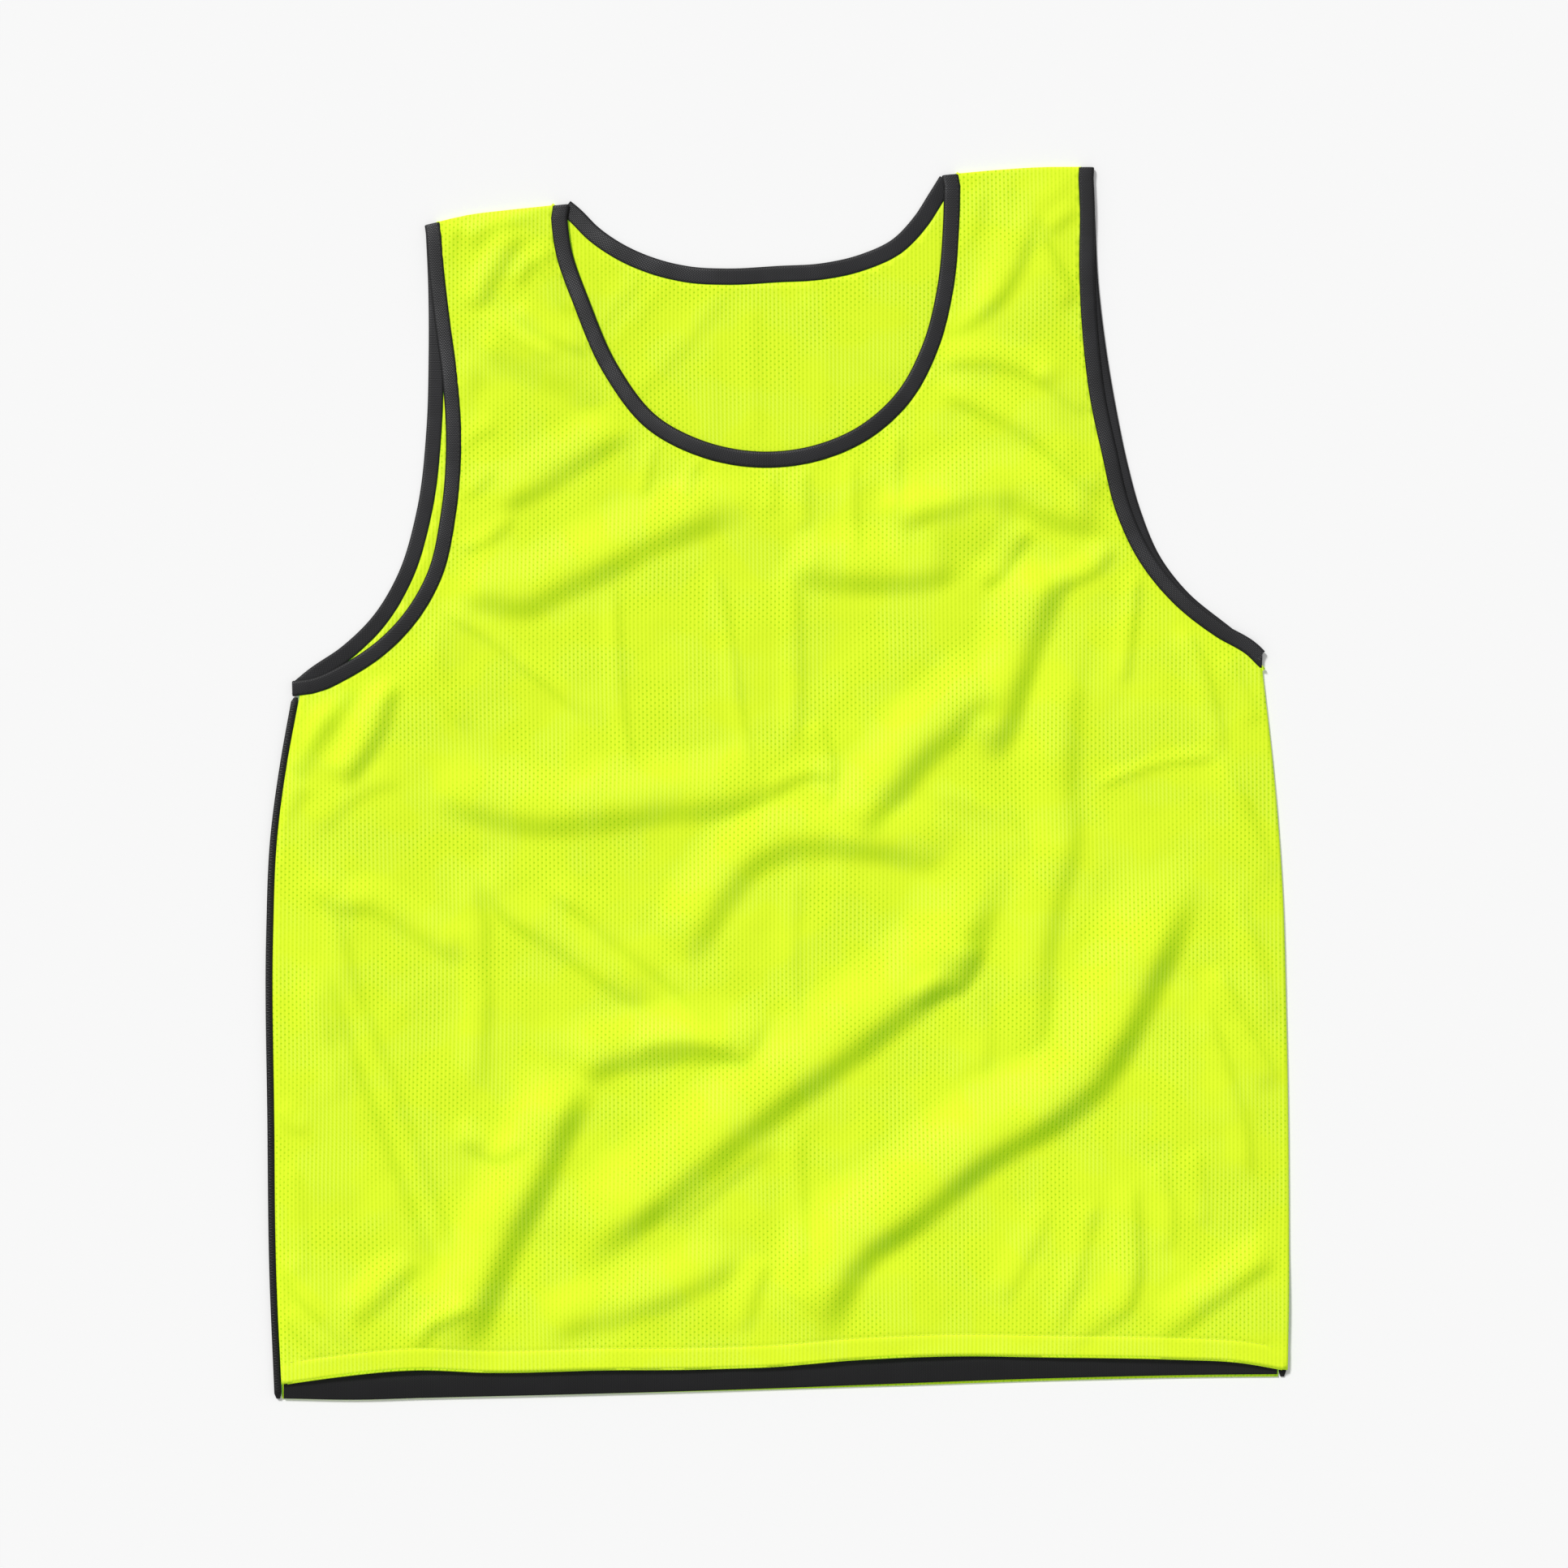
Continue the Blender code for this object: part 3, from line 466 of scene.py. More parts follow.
def pull_and_shade_of(points: np.ndarray, folds: Sequence[Fold]) -> np.ndarray:
    """How far the steep sides of folds darken the knit at points, partly pulled open and partly painted shade, from
    0 to 1.
    """
    return np.clip(np.max([fold.shape(points)[1] for fold in folds], axis=0), 0, 1)


def pattern_middle() -> np.ndarray:
    """The point of the pattern that lies over the frame's origin, from the boxes of two nodes.

    Returns:
        Its x, y and z.
    """
    side = Line(SIDE_LEFT).spread(SIDE_STEPS_OF_FRAME)
    hem = Line(BACK_HEM).spread(HEM_STEPS_OF_FRAME)
    x = side[:, 0].min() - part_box("side_piping_left")[0][0] / MM
    y = hem[:, 1].min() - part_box("back_panel")[0][1] / MM
    return np.array([x, y, 0.0])


MIDDLE = pattern_middle()


class Value:
    """A shader socket that takes part in Python expressions."""

    def __init__(self, shader: "Shader", socket: bpy.types.NodeSocket) -> None:
        """Wraps a socket of a shader's tree."""
        self.shader = shader
        self.socket = socket

    def __add__(self, other: "Value | float") -> "Value":
        """The sum."""
        return self.shader.math("ADD", self, other)

    def __radd__(self, other: float) -> "Value":
        """The sum, with a number first."""
        return self.shader.math("ADD", other, self)

    def __sub__(self, other: "Value | float") -> "Value":
        """The difference."""
        return self.shader.math("SUBTRACT", self, other)

    def __rsub__(self, other: float) -> "Value":
        """The difference, with a number first."""
        return self.shader.math("SUBTRACT", other, self)

    def __mul__(self, other: "Value | float") -> "Value":
        """The product."""
        return self.shader.math("MULTIPLY", self, other)

    def __rmul__(self, other: float) -> "Value":
        """The product, with a number first."""
        return self.shader.math("MULTIPLY", other, self)

    def __truediv__(self, other: "Value | float") -> "Value":
        """The quotient."""
        return self.shader.math("DIVIDE", self, other)

    def wave(self, length: float) -> "Value":
        """A cosine wave of this length along the value."""
        return self.shader.math("COSINE", self * (2 * math.pi / length))

    def size(self) -> "Value":
        """The value without its sign."""
        return self.shader.math("ABSOLUTE", self)

    def between(self, low: float, high: float) -> "Value":
        """A smooth step from 0 at low to 1 at high.

        Args:
            low: the value at which the step starts.
            high: the value at which it is done.

        Returns:
            The step.
        """
        made = self.shader.node(
            "ShaderNodeMapRange",
            {"interpolation_type": "SMOOTHSTEP"},
            {"Value": self, "From Min": low, "From Max": high},
        )
        return Value(self.shader, made.outputs["Result"])


class Shader:
    """The nodes of one material, round its Principled shader."""

    def __init__(self, name: str) -> None:
        """Makes a material of this name.

        Args:
            name: the material's name.
        """
        self.material = bpy.data.materials.new(name)
        self.material.use_nodes = True
        self.tree = self.material.node_tree
        self.surface = self.tree.nodes["Principled BSDF"]

    def node(self, kind: str, settings: dict[str, object], inputs: dict[str | int, object]) -> bpy.types.Node:
        """Adds a node.

        Args:
            kind: the node's type.
            settings: its own settings, which are set first.
            inputs: the value or link of each socket, by name or number.

        Returns:
            The node.
        """
        made = self.tree.nodes.new(kind)
        for key, value in settings.items():
            setattr(made, key, value)
        for key, value in inputs.items():
            self.feed(made.inputs[key], value)
        return made

    def feed(self, socket: bpy.types.NodeSocket, value: object) -> None:
        """Links a value to a socket, or sets a number or colour on it.

        Args:
            socket: the input.
            value: what it is given.
        """
        if isinstance(value, Value):
            self.tree.links.new(value.socket, socket)
        else:
            socket.default_value = value

    def math(self, operation: str, *values: "Value | float") -> Value:
        """The result of a Math node."""
        made = self.node("ShaderNodeMath", {"operation": operation}, dict(enumerate(values)))
        return Value(self, made.outputs[0])

    def flat(self) -> tuple[Value, Value, Value]:
        """The place on the flat cloth in metres, as a vector, and as its x and y.

        Returns:
            The three values.
        """
        place = Value(self, self.node("ShaderNodeUVMap", {"uv_map": UV_NAME}, {}).outputs["UV"])
        parts = self.node("ShaderNodeSeparateXYZ", {}, {"Vector": place})
        return place, Value(self, parts.outputs["X"]), Value(self, parts.outputs["Y"])

    def attribute(self, name: str) -> Value:
        """A number that the mesh holds at each point."""
        return Value(self, self.node("ShaderNodeAttribute", {"attribute_name": name}, {}).outputs["Fac"])

    def noise(self, place: Value, scale: float, detail: float) -> Value:
        """Soft noise from about 0.3 to 0.7, at this many waves a metre."""
        made = self.node("ShaderNodeTexNoise", {}, {"Vector": place, "Scale": scale, "Detail": detail})
        return Value(self, made.outputs["Fac"])

    def mix(self, share: "Value | float", first: "Value | Colour", second: "Value | Colour") -> Value:
        """A colour between two, at this share of the way to the second.

        Args:
            share: how far towards the second colour.
            first: the colour at 0.
            second: the colour at 1.

        Returns:
            The colour.
        """
        colours = [c if isinstance(c, Value) else (*c, 1.0) for c in (first, second)]
        made = self.node("ShaderNodeMix", {"data_type": "RGBA"}, {0: share, 6: colours[0], 7: colours[1]})
        return Value(self, made.outputs[2])

    def bump(self, height: Value, strength: float, depth: float) -> None:
        """Lets the height of the surface's relief tilt the light, for a relief so deep in metres."""
        made = self.node("ShaderNodeBump", {}, {"Strength": strength, "Distance": depth, "Height": height})
        self.feed(self.surface.inputs["Normal"], Value(self, made.outputs["Normal"]))


@dataclass(frozen=True)
class KnitFinish:
    """Neon mesh knit: columns of loops with staggered pinholes between them, painted shade on the folds' steep
    sides, painted sheen on the loops' ridges and a painted glow.
    """

    name: str = "neon mesh knit"
    yarn: Colour = (0.835, 0.885, 0.022)
    # hollow is the colour of the pinholes and also of the painted shade on the folds' steep sides.
    hollow_and_shade: Colour = (0.40, 0.60, 0.0)
    # shine is a painted sheen on the loops' ridges.
    painted_sheen: Colour = (0.94, 0.98, 0.12)
    # glow is a painted glow: constant green light from the cloth, which is no lamp, keeping its shaded folds green.
    painted_glow: Colour = (0.0, 0.165, 0.0)
    column: float = 0.0023
    course: float = 0.0034
    slant: float = 0.0019
    warp: float = 0.004
    roughness: float = 0.66

    def make(self) -> bpy.types.Material:
        """The material, read from the flat cloth's own coordinates.

        Returns:
            The material.
        """
        shader = Shader(self.name)
        place, x, y = shader.flat()
        drift = shader.noise(place, 6.0, 1.0) - 0.5
        x = x + drift * self.warp
        y = y - drift * self.warp
        across = x.wave(self.column * 2)
        holes = (across * across.size() * y.wave(self.course)).between(0.42, 0.85)
        ridge = x.wave(self.column)
        hatch = (x + y).wave(self.slant)
        patch = shader.noise(place, 21.0, 2.0).between(0.38, 0.60)
        other = shader.noise(place, 33.0, 1.0).between(0.42, 0.62)
        pull_and_shade = shader.attribute(PULL_AND_SHADE_NAME)
        smooth = 1.0 - shader.attribute(BAND_NAME) * 0.75
        open_share = (0.18 + patch * 0.62) * smooth
        # Painted shade on the folds' steep sides, partly standing for the knit pulled open there.
        colour = shader.mix(pull_and_shade * 0.36, self.yarn, self.hollow_and_shade)
        colour = shader.mix(holes * open_share, colour, self.hollow_and_shade)
        colour = shader.mix((0.5 + ridge * 0.5) * 0.13 * smooth, colour, self.hollow_and_shade)
        # Painted sheen on the ridges of the loops, stronger in patches.
        colour = shader.mix((0.5 - ridge * 0.5) * (0.10 + other * 0.30), colour, self.painted_sheen)
        colour = shader.mix((0.5 + hatch * 0.5) * other * 0.12 * smooth, colour, self.hollow_and_shade)
        shader.feed(shader.surface.inputs["Base Color"], colour)
        shader.feed(shader.surface.inputs["Roughness"], self.roughness + holes * 0.15 - other * 0.06)
        shader.bump(0.0 - ridge * 0.3 - holes * open_share + hatch * other * 0.2, 0.45, 0.0003)
        # Painted glow: the knit gives off a little green light of its own.
        shader.surface.inputs["Emission Color"].default_value = (*self.painted_glow, 1.0)
        shader.surface.inputs["Emission Strength"].default_value = 1.0
        shader.surface.inputs["Specular IOR Level"].default_value = 0.12
        return shader.material


@dataclass(frozen=True)
class TapeFinish:
    """Black woven tape: fine ribs across it, a painted sheen along its middle and painted shade on its darker
    edges.
    """

    name: str
    width: float
    # edge is painted shade on the tape's rounded edges, middle a painted sheen along its crown.
    edge: Colour = (0.0035, 0.0035, 0.004)
    middle: Colour = (0.020, 0.020, 0.0225)
    rib: float = 0.00085
    roughness: float = 0.5

    def make(self) -> bpy.types.Material:
        """The material, read with x along the tape and y across it.

        Returns:
            The material.
        """
        shader = Shader(self.name)
        place, x, y = shader.flat()
        off_middle = (y * (2.0 / self.width) - 1.0).size()
        # Painted sheen along the tape's middle, turning to painted shade towards its edges.
        centre = 1.0 - off_middle.between(0.70, 0.97)
        mottle = shader.noise(place, 38.0, 2.0).between(0.35, 0.66)
        ribs = x.wave(self.rib)
        slant = (x + y).wave(self.rib * 1.7)
        colour = shader.mix(centre * (0.55 + mottle * 0.45), self.edge, self.middle)
        shader.feed(shader.surface.inputs["Base Color"], colour)
        shader.feed(shader.surface.inputs["Roughness"], self.roughness + (1.0 - centre) * 0.15 - mottle * 0.08)
        shader.bump(ribs * 0.5 + slant * 0.35 + mottle * 0.6, 0.45, 0.0002)
        shader.surface.inputs["Specular IOR Level"].default_value = 0.35
        return shader.material


@dataclass(frozen=True)
class ThreadFinish:
    """Sewing thread: two plies twisted together, with painted shade between them."""

    name: str
    colour: Colour
    # shade is painted shade in the grooves between the plies.
    shade: Colour
    twist: float = 0.0006

    def make(self) -> bpy.types.Material:
        """The material, read with x along the stitch.

        Returns:
            The material.
        """
        shader = Shader(self.name)
        _, x, y = shader.flat()
        ply = (x + y).wave(self.twist)
        shader.feed(shader.surface.inputs["Base Color"], shader.mix(ply * 0.5 + 0.5, self.shade, self.colour))
        shader.surface.inputs["Roughness"].default_value = 0.45
        shader.bump(ply, 0.4, 0.0001)
        return shader.material


@dataclass(frozen=True)
class FloorFinish:
    """A smooth near-white studio surface."""

    name: str = "white studio floor"
    colour: Colour = (0.93, 0.93, 0.93)
    lift: float = 0.1

    def make(self) -> bpy.types.Material:
        """The material.

        Returns:
            The material, the same all over.
        """
        shader = Shader(self.name)
        shader.surface.inputs["Base Color"].default_value = (*self.colour, 1.0)
        shader.surface.inputs["Roughness"].default_value = 0.9
        shader.surface.inputs["Specular IOR Level"].default_value = 0.1
        shader.surface.inputs["Emission Color"].default_value = (1.0, 1.0, 1.0, 1.0)
        shader.surface.inputs["Emission Strength"].default_value = self.lift
        return shader.material


@dataclass
class Shape:
    """A mesh before it is made: points in pattern millimetres, faces, and where each face corner lies when flat."""

    vertices: np.ndarray
    faces: list[list[int]]
    flat: np.ndarray


def select_only(piece: bpy.types.Object) -> None:
    """Deselects everything and selects one piece.

    Args:
        piece: the object to select.
    """
    bpy.ops.object.select_all(action="DESELECT")
    piece.select_set(True)
    bpy.context.view_layer.objects.active = piece


def make_piece(name: str, shape: Shape, material: bpy.types.Material) -> bpy.types.Object:
    """Makes a piece of the bib, smooth, facing out, and riding on its body.

    Args:
        name: the piece's name.
        shape: its mesh.
        material: its finish.

    Returns:
        The object.
    """
    mesh = bpy.data.meshes.new(name)
    mesh.from_pydata(((shape.vertices - MIDDLE) * MM).tolist(), [], shape.faces)
    mesh.uv_layers.new(name=UV_NAME).data.foreach_set("uv", (shape.flat * MM).ravel())
    mesh.materials.append(material)
    piece = bpy.data.objects.new(name, mesh)
    bpy.context.scene.collection.objects.link(piece)
    select_only(piece)
    bpy.ops.object.mode_set(mode="EDIT")
    bpy.ops.mesh.select_all(action="SELECT")
    bpy.ops.mesh.normals_make_consistent(inside=False)
    bpy.ops.object.mode_set(mode="OBJECT")
    bpy.ops.object.shade_smooth_by_angle(angle=math.radians(SHARP_EDGE))
    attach(piece, BODY)
    LOG.info("%s: %d points, %d faces", name, len(mesh.vertices), len(mesh.polygons))
    return piece


def tube(sections: np.ndarray, across: np.ndarray, closed: bool) -> Shape:
    """The closed skin over a row of sections, which joins its last section to its first or caps both ends.

    Args:
        sections: an array of (section, point, xyz).
        across: each section point's place across the flat cloth.
        closed: whether the row closes on itself as a ring.

    Returns:
        The skin.
    """
    count, points = sections.shape[:2]
    middles = sections.mean(axis=1)
    steps = np.linalg.norm(np.diff(np.vstack([middles, middles[:1]]), axis=0), axis=1)
    along = np.concatenate([[0.0], np.cumsum(steps)])
    faces = []
    flat = []
    for i in range(count if closed else count - 1):
        for j in range(points):
            a = i * points
            b = (i + 1) % count * points
            k = (j + 1) % points
            faces.append([a + j, a + k, b + k, b + j])
            start, end = along[i], along[i + 1]
            flat += [(start, across[j]), (start, across[k]), (end, across[k]), (end, across[j])]
    if not closed:
        last = (count - 1) * points
        faces.append(list(range(points - 1, -1, -1)))
        flat += [(0.0, across[j]) for j in range(points - 1, -1, -1)]
        faces.append([last + j for j in range(points)])
        flat += [(along[count - 1], across[j]) for j in range(points)]
    return Shape(sections.reshape(-1, 3), faces, np.array(flat))


def side_line(outline: Sequence[Point], inset: float, start: Point, end: Point) -> Line:
    """A side seam's outline moved towards the middle of the bib, between a panel's own corners.

    Args:
        outline: the side's points.
        inset: how far it is moved.
        start: the corner at the hem.
        end: the corner at the armhole.

    Returns:
        The line.
    """
    inward = -1.0 if outline[0][0] > 0 else 1.0
    points = [(x + inward * inset, y) for x, y in outline]
    points[0] = start
    points[-1] = end
    return Line(points)


def distinct(points: np.ndarray) -> np.ndarray:
    """A closed row of points without those that repeat the one before."""
    step = np.linalg.norm(points - np.roll(points, 1, axis=0), axis=1)
    return points[step > SAME_POINT]


@dataclass
class Panel:
    """A panel of mesh knit: a thin shell over a lattice of even triangles inside its cut edge."""

    spacing: float
    tuck: float = 2.0
    thickness: float = 0.6
    edge_step: float = 3.2
    clear_share: float = 0.6

    def tucked(self, points: Sequence[Point], side: float) -> np.ndarray:
        """A seam's points moved into its binding, to the left of the line where side is 1."""
        line = Line(points).every(self.edge_step)
        return line + left_normals(line) * self.tuck * side

    def lattice(self, outline: np.ndarray, guides: np.ndarray) -> np.ndarray:
        """The points inside a cut edge: those of the guides, and a lattice of equal triangles clear of them.

        Args:
            outline: the closed row of points of the cut edge.
            guides: the rows of points that the mesh follows.

        Returns:
            All the inner points.
        """
        low = outline.min(axis=0)
        high = outline.max(axis=0)
        rows = []
        for i, y in enumerate(np.arange(low[1], high[1], self.spacing * math.sqrt(0.75))):
            x = np.arange(low[0] + self.spacing / 2 * (i % 2), high[0], self.spacing)
            rows.append(np.stack([x, np.full(len(x), y)], axis=1))
        kept = np.vstack([outline, guides])
        tree = KDTree(len(kept))
        for i, point in enumerate(kept):
            tree.insert((*point, 0.0), i)
        tree.balance()
        clear = self.clear_share * self.spacing
        free = [point for point in np.vstack(rows) if tree.find((*point, 0.0))[2] > clear]
        return np.vstack([guides, free])

    def cloth(self, name: str, outline: np.ndarray, guides: np.ndarray, level: Measure,
              held: dict[str, Measure], material: bpy.types.Material) -> bpy.types.Object:
        """The panel's shell.

        Args:
            name: the piece's name.
            outline: the closed row of points of the cut edge.
            guides: the rows of points inside it that the mesh follows.
            level: the height of the middle of the cloth at points.
            held: what the mesh holds at each point for its finish, by name.
            material: the finish.

        Returns:
            The object.
        """
        points = np.vstack([outline, self.lattice(outline, guides)])
        found = delaunay_2d_cdt([Vector(p) for p in points], [], [range(len(outline))], 1, 1e-4)
        corners = np.array([tuple(p) for p in found[0]])
        used, numbered = np.unique(np.array([tuple(f) for f in found[2]]), return_inverse=True)
        corners = corners[used]
        triangles = numbered.reshape(-1, 3)
        shape = Shape(
            np.column_stack([corners, level(corners)]), triangles.tolist(), corners[triangles.ravel()]
        )
        piece = make_piece(name, shape, material)
        for key, measure in held.items():
            value = piece.data.attributes.new(key, "FLOAT", "POINT")
            value.data.foreach_set("value", measure(corners).astype(np.float32))
        if sum(face.normal.z for face in piece.data.polygons) < 0:
            piece.data.flip_normals()
        shell = piece.modifiers.new("thickness", "SOLIDIFY")
        shell.thickness = self.thickness * MM
        shell.offset = 0.0
        shell.use_even_offset = True
        select_only(piece)
        bpy.ops.object.modifier_apply(modifier=shell.name)
        return piece


@dataclass
class FrontPanel(Panel):
    """The front, with its folds, its creases, its turned hem and its edge rolled over the right side."""

    spacing: float = 3.7
    cut_width: float = 0.592
    cut_length: float = 0.712
    cut_area: float = 0.322
    pillow: float = 1.2
    ripple: float = 0.5
    ripple_across: float = 27.0
    ripple_along: float = 34.0
    edge_fade: float = 24.0
    crease_fade: float = 7.0
    fold_blend: float = 3.0
    hem_lift: float = 1.4
    hem_lift_reach: float = 28.0
    hem_lift_fade: float = 50.0
    hem_fold_share: float = 0.35
    hem_fold_reach: float = 45.0
    band_width: float = 12.0
    band_raise: float = 0.25
    stitch_dip: float = 0.35
    roll_radius: float = 1.7
    seam_pinch: float = 2.6
    pucker: float = 0.10
    pucker_length: float = 11.0
    pucker_reach: float = 6.0
    pucker_start: float = 1.5
    dip_reach: float = 1.2
    slight_waves: tuple[Point, ...] = ((0.9, 46.0), (0.42, 21.0), (0.14, 9.5))

    def above_hem(self, points: np.ndarray) -> np.ndarray:
        """How far points lie above the hem."""
        hem = Line(FRONT_HEM).points
        return points[:, 1] - np.interp(points[:, 0], hem[:, 0], hem[:, 1])

    def right_side(self) -> Line:
        """The edge that rolls over the right side."""
        return side_line(SIDE_RIGHT, 0.0, FRONT_HEM[-1], FRONT_ARM_RIGHT[0])

    def left_side(self) -> Line:
        """The edge beside the left piping."""
        corner = (FRONT_HEM[0][0] - SEAM_GAP, FRONT_HEM[0][1])
        return side_line(SIDE_LEFT, PIPING_WIDTH, corner, FRONT_ARM_LEFT[0])

    def waves(self, points: np.ndarray) -> np.ndarray:
        """The slight unevenness of the cloth between its folds.

        Args:
            points: an array of (x, y) points.

        Returns:
            The height at each.
        """
        x = points[:, 0]
        y = points[:, 1]
        broad = np.sin(x / self.ripple_across + y / self.ripple_along / 3)
        broad *= np.cos(y / self.ripple_along - x / self.ripple_across / 4)
        level = self.ripple * broad
        for height, length in self.slight_waves:
            level += height * np.array([noise.noise((px / length, py / length, length)) for px, py in points])
        return level

    def band(self, points: np.ndarray) -> np.ndarray:
        """1 in the hem's turned band and 0 above it."""
        return 1.0 - ramp((self.above_hem(points) - self.band_width + 0.5) / 1.0)

    def seams(self) -> list[np.ndarray]:
        """The lines along which the front is held down.

        Returns:
            The points of each line.
        """
        lines = [FRONT_NECK, FRONT_ARM_LEFT, FRONT_ARM_RIGHT, SHOULDER_LEFT, SHOULDER_RIGHT]
        found = [Line(line).every(SEAM_STEP) for line in lines]
        found += [self.right_side().every(SEAM_STEP), self.left_side().every(SEAM_STEP)]
        return found

    def puckers(self, away: np.ndarray, along: np.ndarray) -> np.ndarray:
        """The small gathers that a seam's thread draws up beside it.

        Args:
            away: how far each point lies from the seam.
            along: how far along the seam each lies.

        Returns:
            The height at each.
        """
        phase = 2 * math.pi * along / self.pucker_length
        wave = np.sin(phase + 1.3 * np.sin(phase / 3.7)) * (0.6 + 0.4 * np.sin(phase / 5.3))
        begun = ramp(away / self.pucker_start)
        return self.pucker * wave * begun * (1 - ramp((away - self.pucker_start) / self.pucker_reach))

    def level(self, points: np.ndarray) -> np.ndarray:
        """The height of the middle of the cloth at these points.

        Args:
            points: an array of (x, y) points.

        Returns:
            The height at each.
        """
        places = [beside(points, line) for line in self.seams()]
        distances = np.abs(np.array([away for away, _ in places]))
        nearest = distances.min(axis=0)
        up = self.above_hem(points)
        lift = self.hem_lift * (1 - ramp((up - self.hem_lift_reach) / self.hem_lift_fade))
        held = self.hem_fold_share + (1 - self.hem_fold_share) * ramp(up / self.hem_fold_reach)
        folds = (np.array([fold.shape(points)[0] for fold in FOLDS]) ** self.fold_blend).sum(axis=0)
        folds = folds ** (1 / self.fold_blend)
        creases = sum(crease.shape(points)[0] for crease in CREASES)
        level = FRONT_LEVEL + lift
        level += ramp(nearest / self.edge_fade) * (self.pillow + self.waves(points) + folds * held)
        level += ramp(nearest / self.crease_fade) * creases * held
        level += sum(self.puckers(np.abs(away), along) for away, along in places)
        off_stitch = np.abs(up - self.band_width) / self.dip_reach
        level += self.band_raise * self.band(points) - self.stitch_dip * (1 - ramp(off_stitch))
        return self.rounded(points, level)

    def rounded(self, points: np.ndarray, level: np.ndarray) -> np.ndarray:
        """The level with its edge rolled down at the right side and drawn to the back at the shoulders.

        Args:
            points: an array of (x, y) points.
            level: the height at each before that.

        Returns:
            The height at each.
        """
        from_side = np.abs(beside(points, self.right_side().every(SEAM_STEP))[0])
        inner = np.clip(1 - from_side / self.roll_radius, 0, 1)
        level = level - self.roll_radius * (1 - np.sqrt(1 - inner**2))
        for shoulder in (SHOULDER_LEFT, SHOULDER_RIGHT):
            away = np.abs(beside(points, Line(shoulder).every(SEAM_STEP))[0])
            inner = np.clip(1 - away / self.seam_pinch, 0, 1)
            level = level - LAYER_RADIUS * (1 - np.sqrt(1 - inner**2))
        return level

    def guides(self, outline: np.ndarray) -> np.ndarray:
        """The rows of points that the mesh follows beside its hem, its right side and its shoulders.

        Args:
            outline: the closed row of points of the cut edge.

        Returns:
            All their points.
        """
        hem = Line(FRONT_HEM).every(self.edge_step)
        rows = [hem + np.array([0.0, up]) for up in (2.0, 5.5, 9.0, 10.8, 11.4, 12.0, 12.6, 13.4, 15.0)]
        side = self.right_side().every(self.edge_step)
        rows += [side + left_normals(side) * inset for inset in (0.15, 0.5, 1.0, 1.7, 3.0)]
        for shoulder in (SHOULDER_LEFT, SHOULDER_RIGHT):
            line = Line(shoulder).every(self.edge_step)
            rows += [line - left_normals(line) * inset for inset in (0.2, 0.8, 1.6, 2.8)]
        ring = np.vstack([outline, outline[:1]])
        kept = []
        for row in rows:
            away = np.abs(beside(row, ring)[0])
            kept.append(row[away > 0.9 * np.median(away)])
        return np.vstack(kept)

    def build(self, material: bpy.types.Material) -> bpy.types.Object:
        """Makes the front's cloth.

        Args:
            material: the knit.

        Returns:
            The object.
        """
        outline = distinct(np.vstack([
            Line(FRONT_HEM).every(self.edge_step),
            self.right_side().every(self.edge_step),
            self.tucked(FRONT_ARM_RIGHT, -1.0),
            Line(SHOULDER_RIGHT).every(self.edge_step)[::-1],
            self.tucked(FRONT_NECK, 1.0)[::-1],
            Line(SHOULDER_LEFT).every(self.edge_step)[::-1],
            self.tucked(FRONT_ARM_LEFT, 1.0)[::-1],
            self.left_side().every(self.edge_step)[::-1],
        ]))
        # The front's folds and creases lay painted shade on their steep sides, partly the knit pulled open.
        held = {BAND_NAME: self.band, PULL_AND_SHADE_NAME: lambda points: pull_and_shade_of(points, FOLDS + CREASES)}
        piece = self.cloth("front_cloth", outline, self.guides(outline), self.level, held, material)
        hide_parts("front_panel")
        return piece

    def hem_turn(self, material: bpy.types.Material) -> bpy.types.Object:
        """The part of the front's hem that is turned up on the inside, with its rounded fold.

        Args:
            material: the knit.

        Returns:
            The object.
        """
        hem = Line(FRONT_HEM).every(self.edge_step)
        inside = hem + np.array([0.0, self.band_width / 2])
        level = self.level(inside) - self.band_raise
        profile = np.array([
            (0.5, 0.30), (-0.15, 0.26), (-0.5, -0.05), (-0.5, -0.45), (-0.2, -0.78), (0.5, -0.86),
            (11.4, -0.80), (11.4, -0.42), (0.6, -0.34), (0.4, -0.2), (0.4, 0.1),
        ])
        sections = [
            [(x, y + up, z + self.band_raise + off) for up, off in profile] for (x, y), z in zip(hem, level)
        ]
        shape = tube(np.array(sections)[1:-1], profile[:, 0] + 3.0, False)
        return make_piece("front_hem_turn", shape, material)


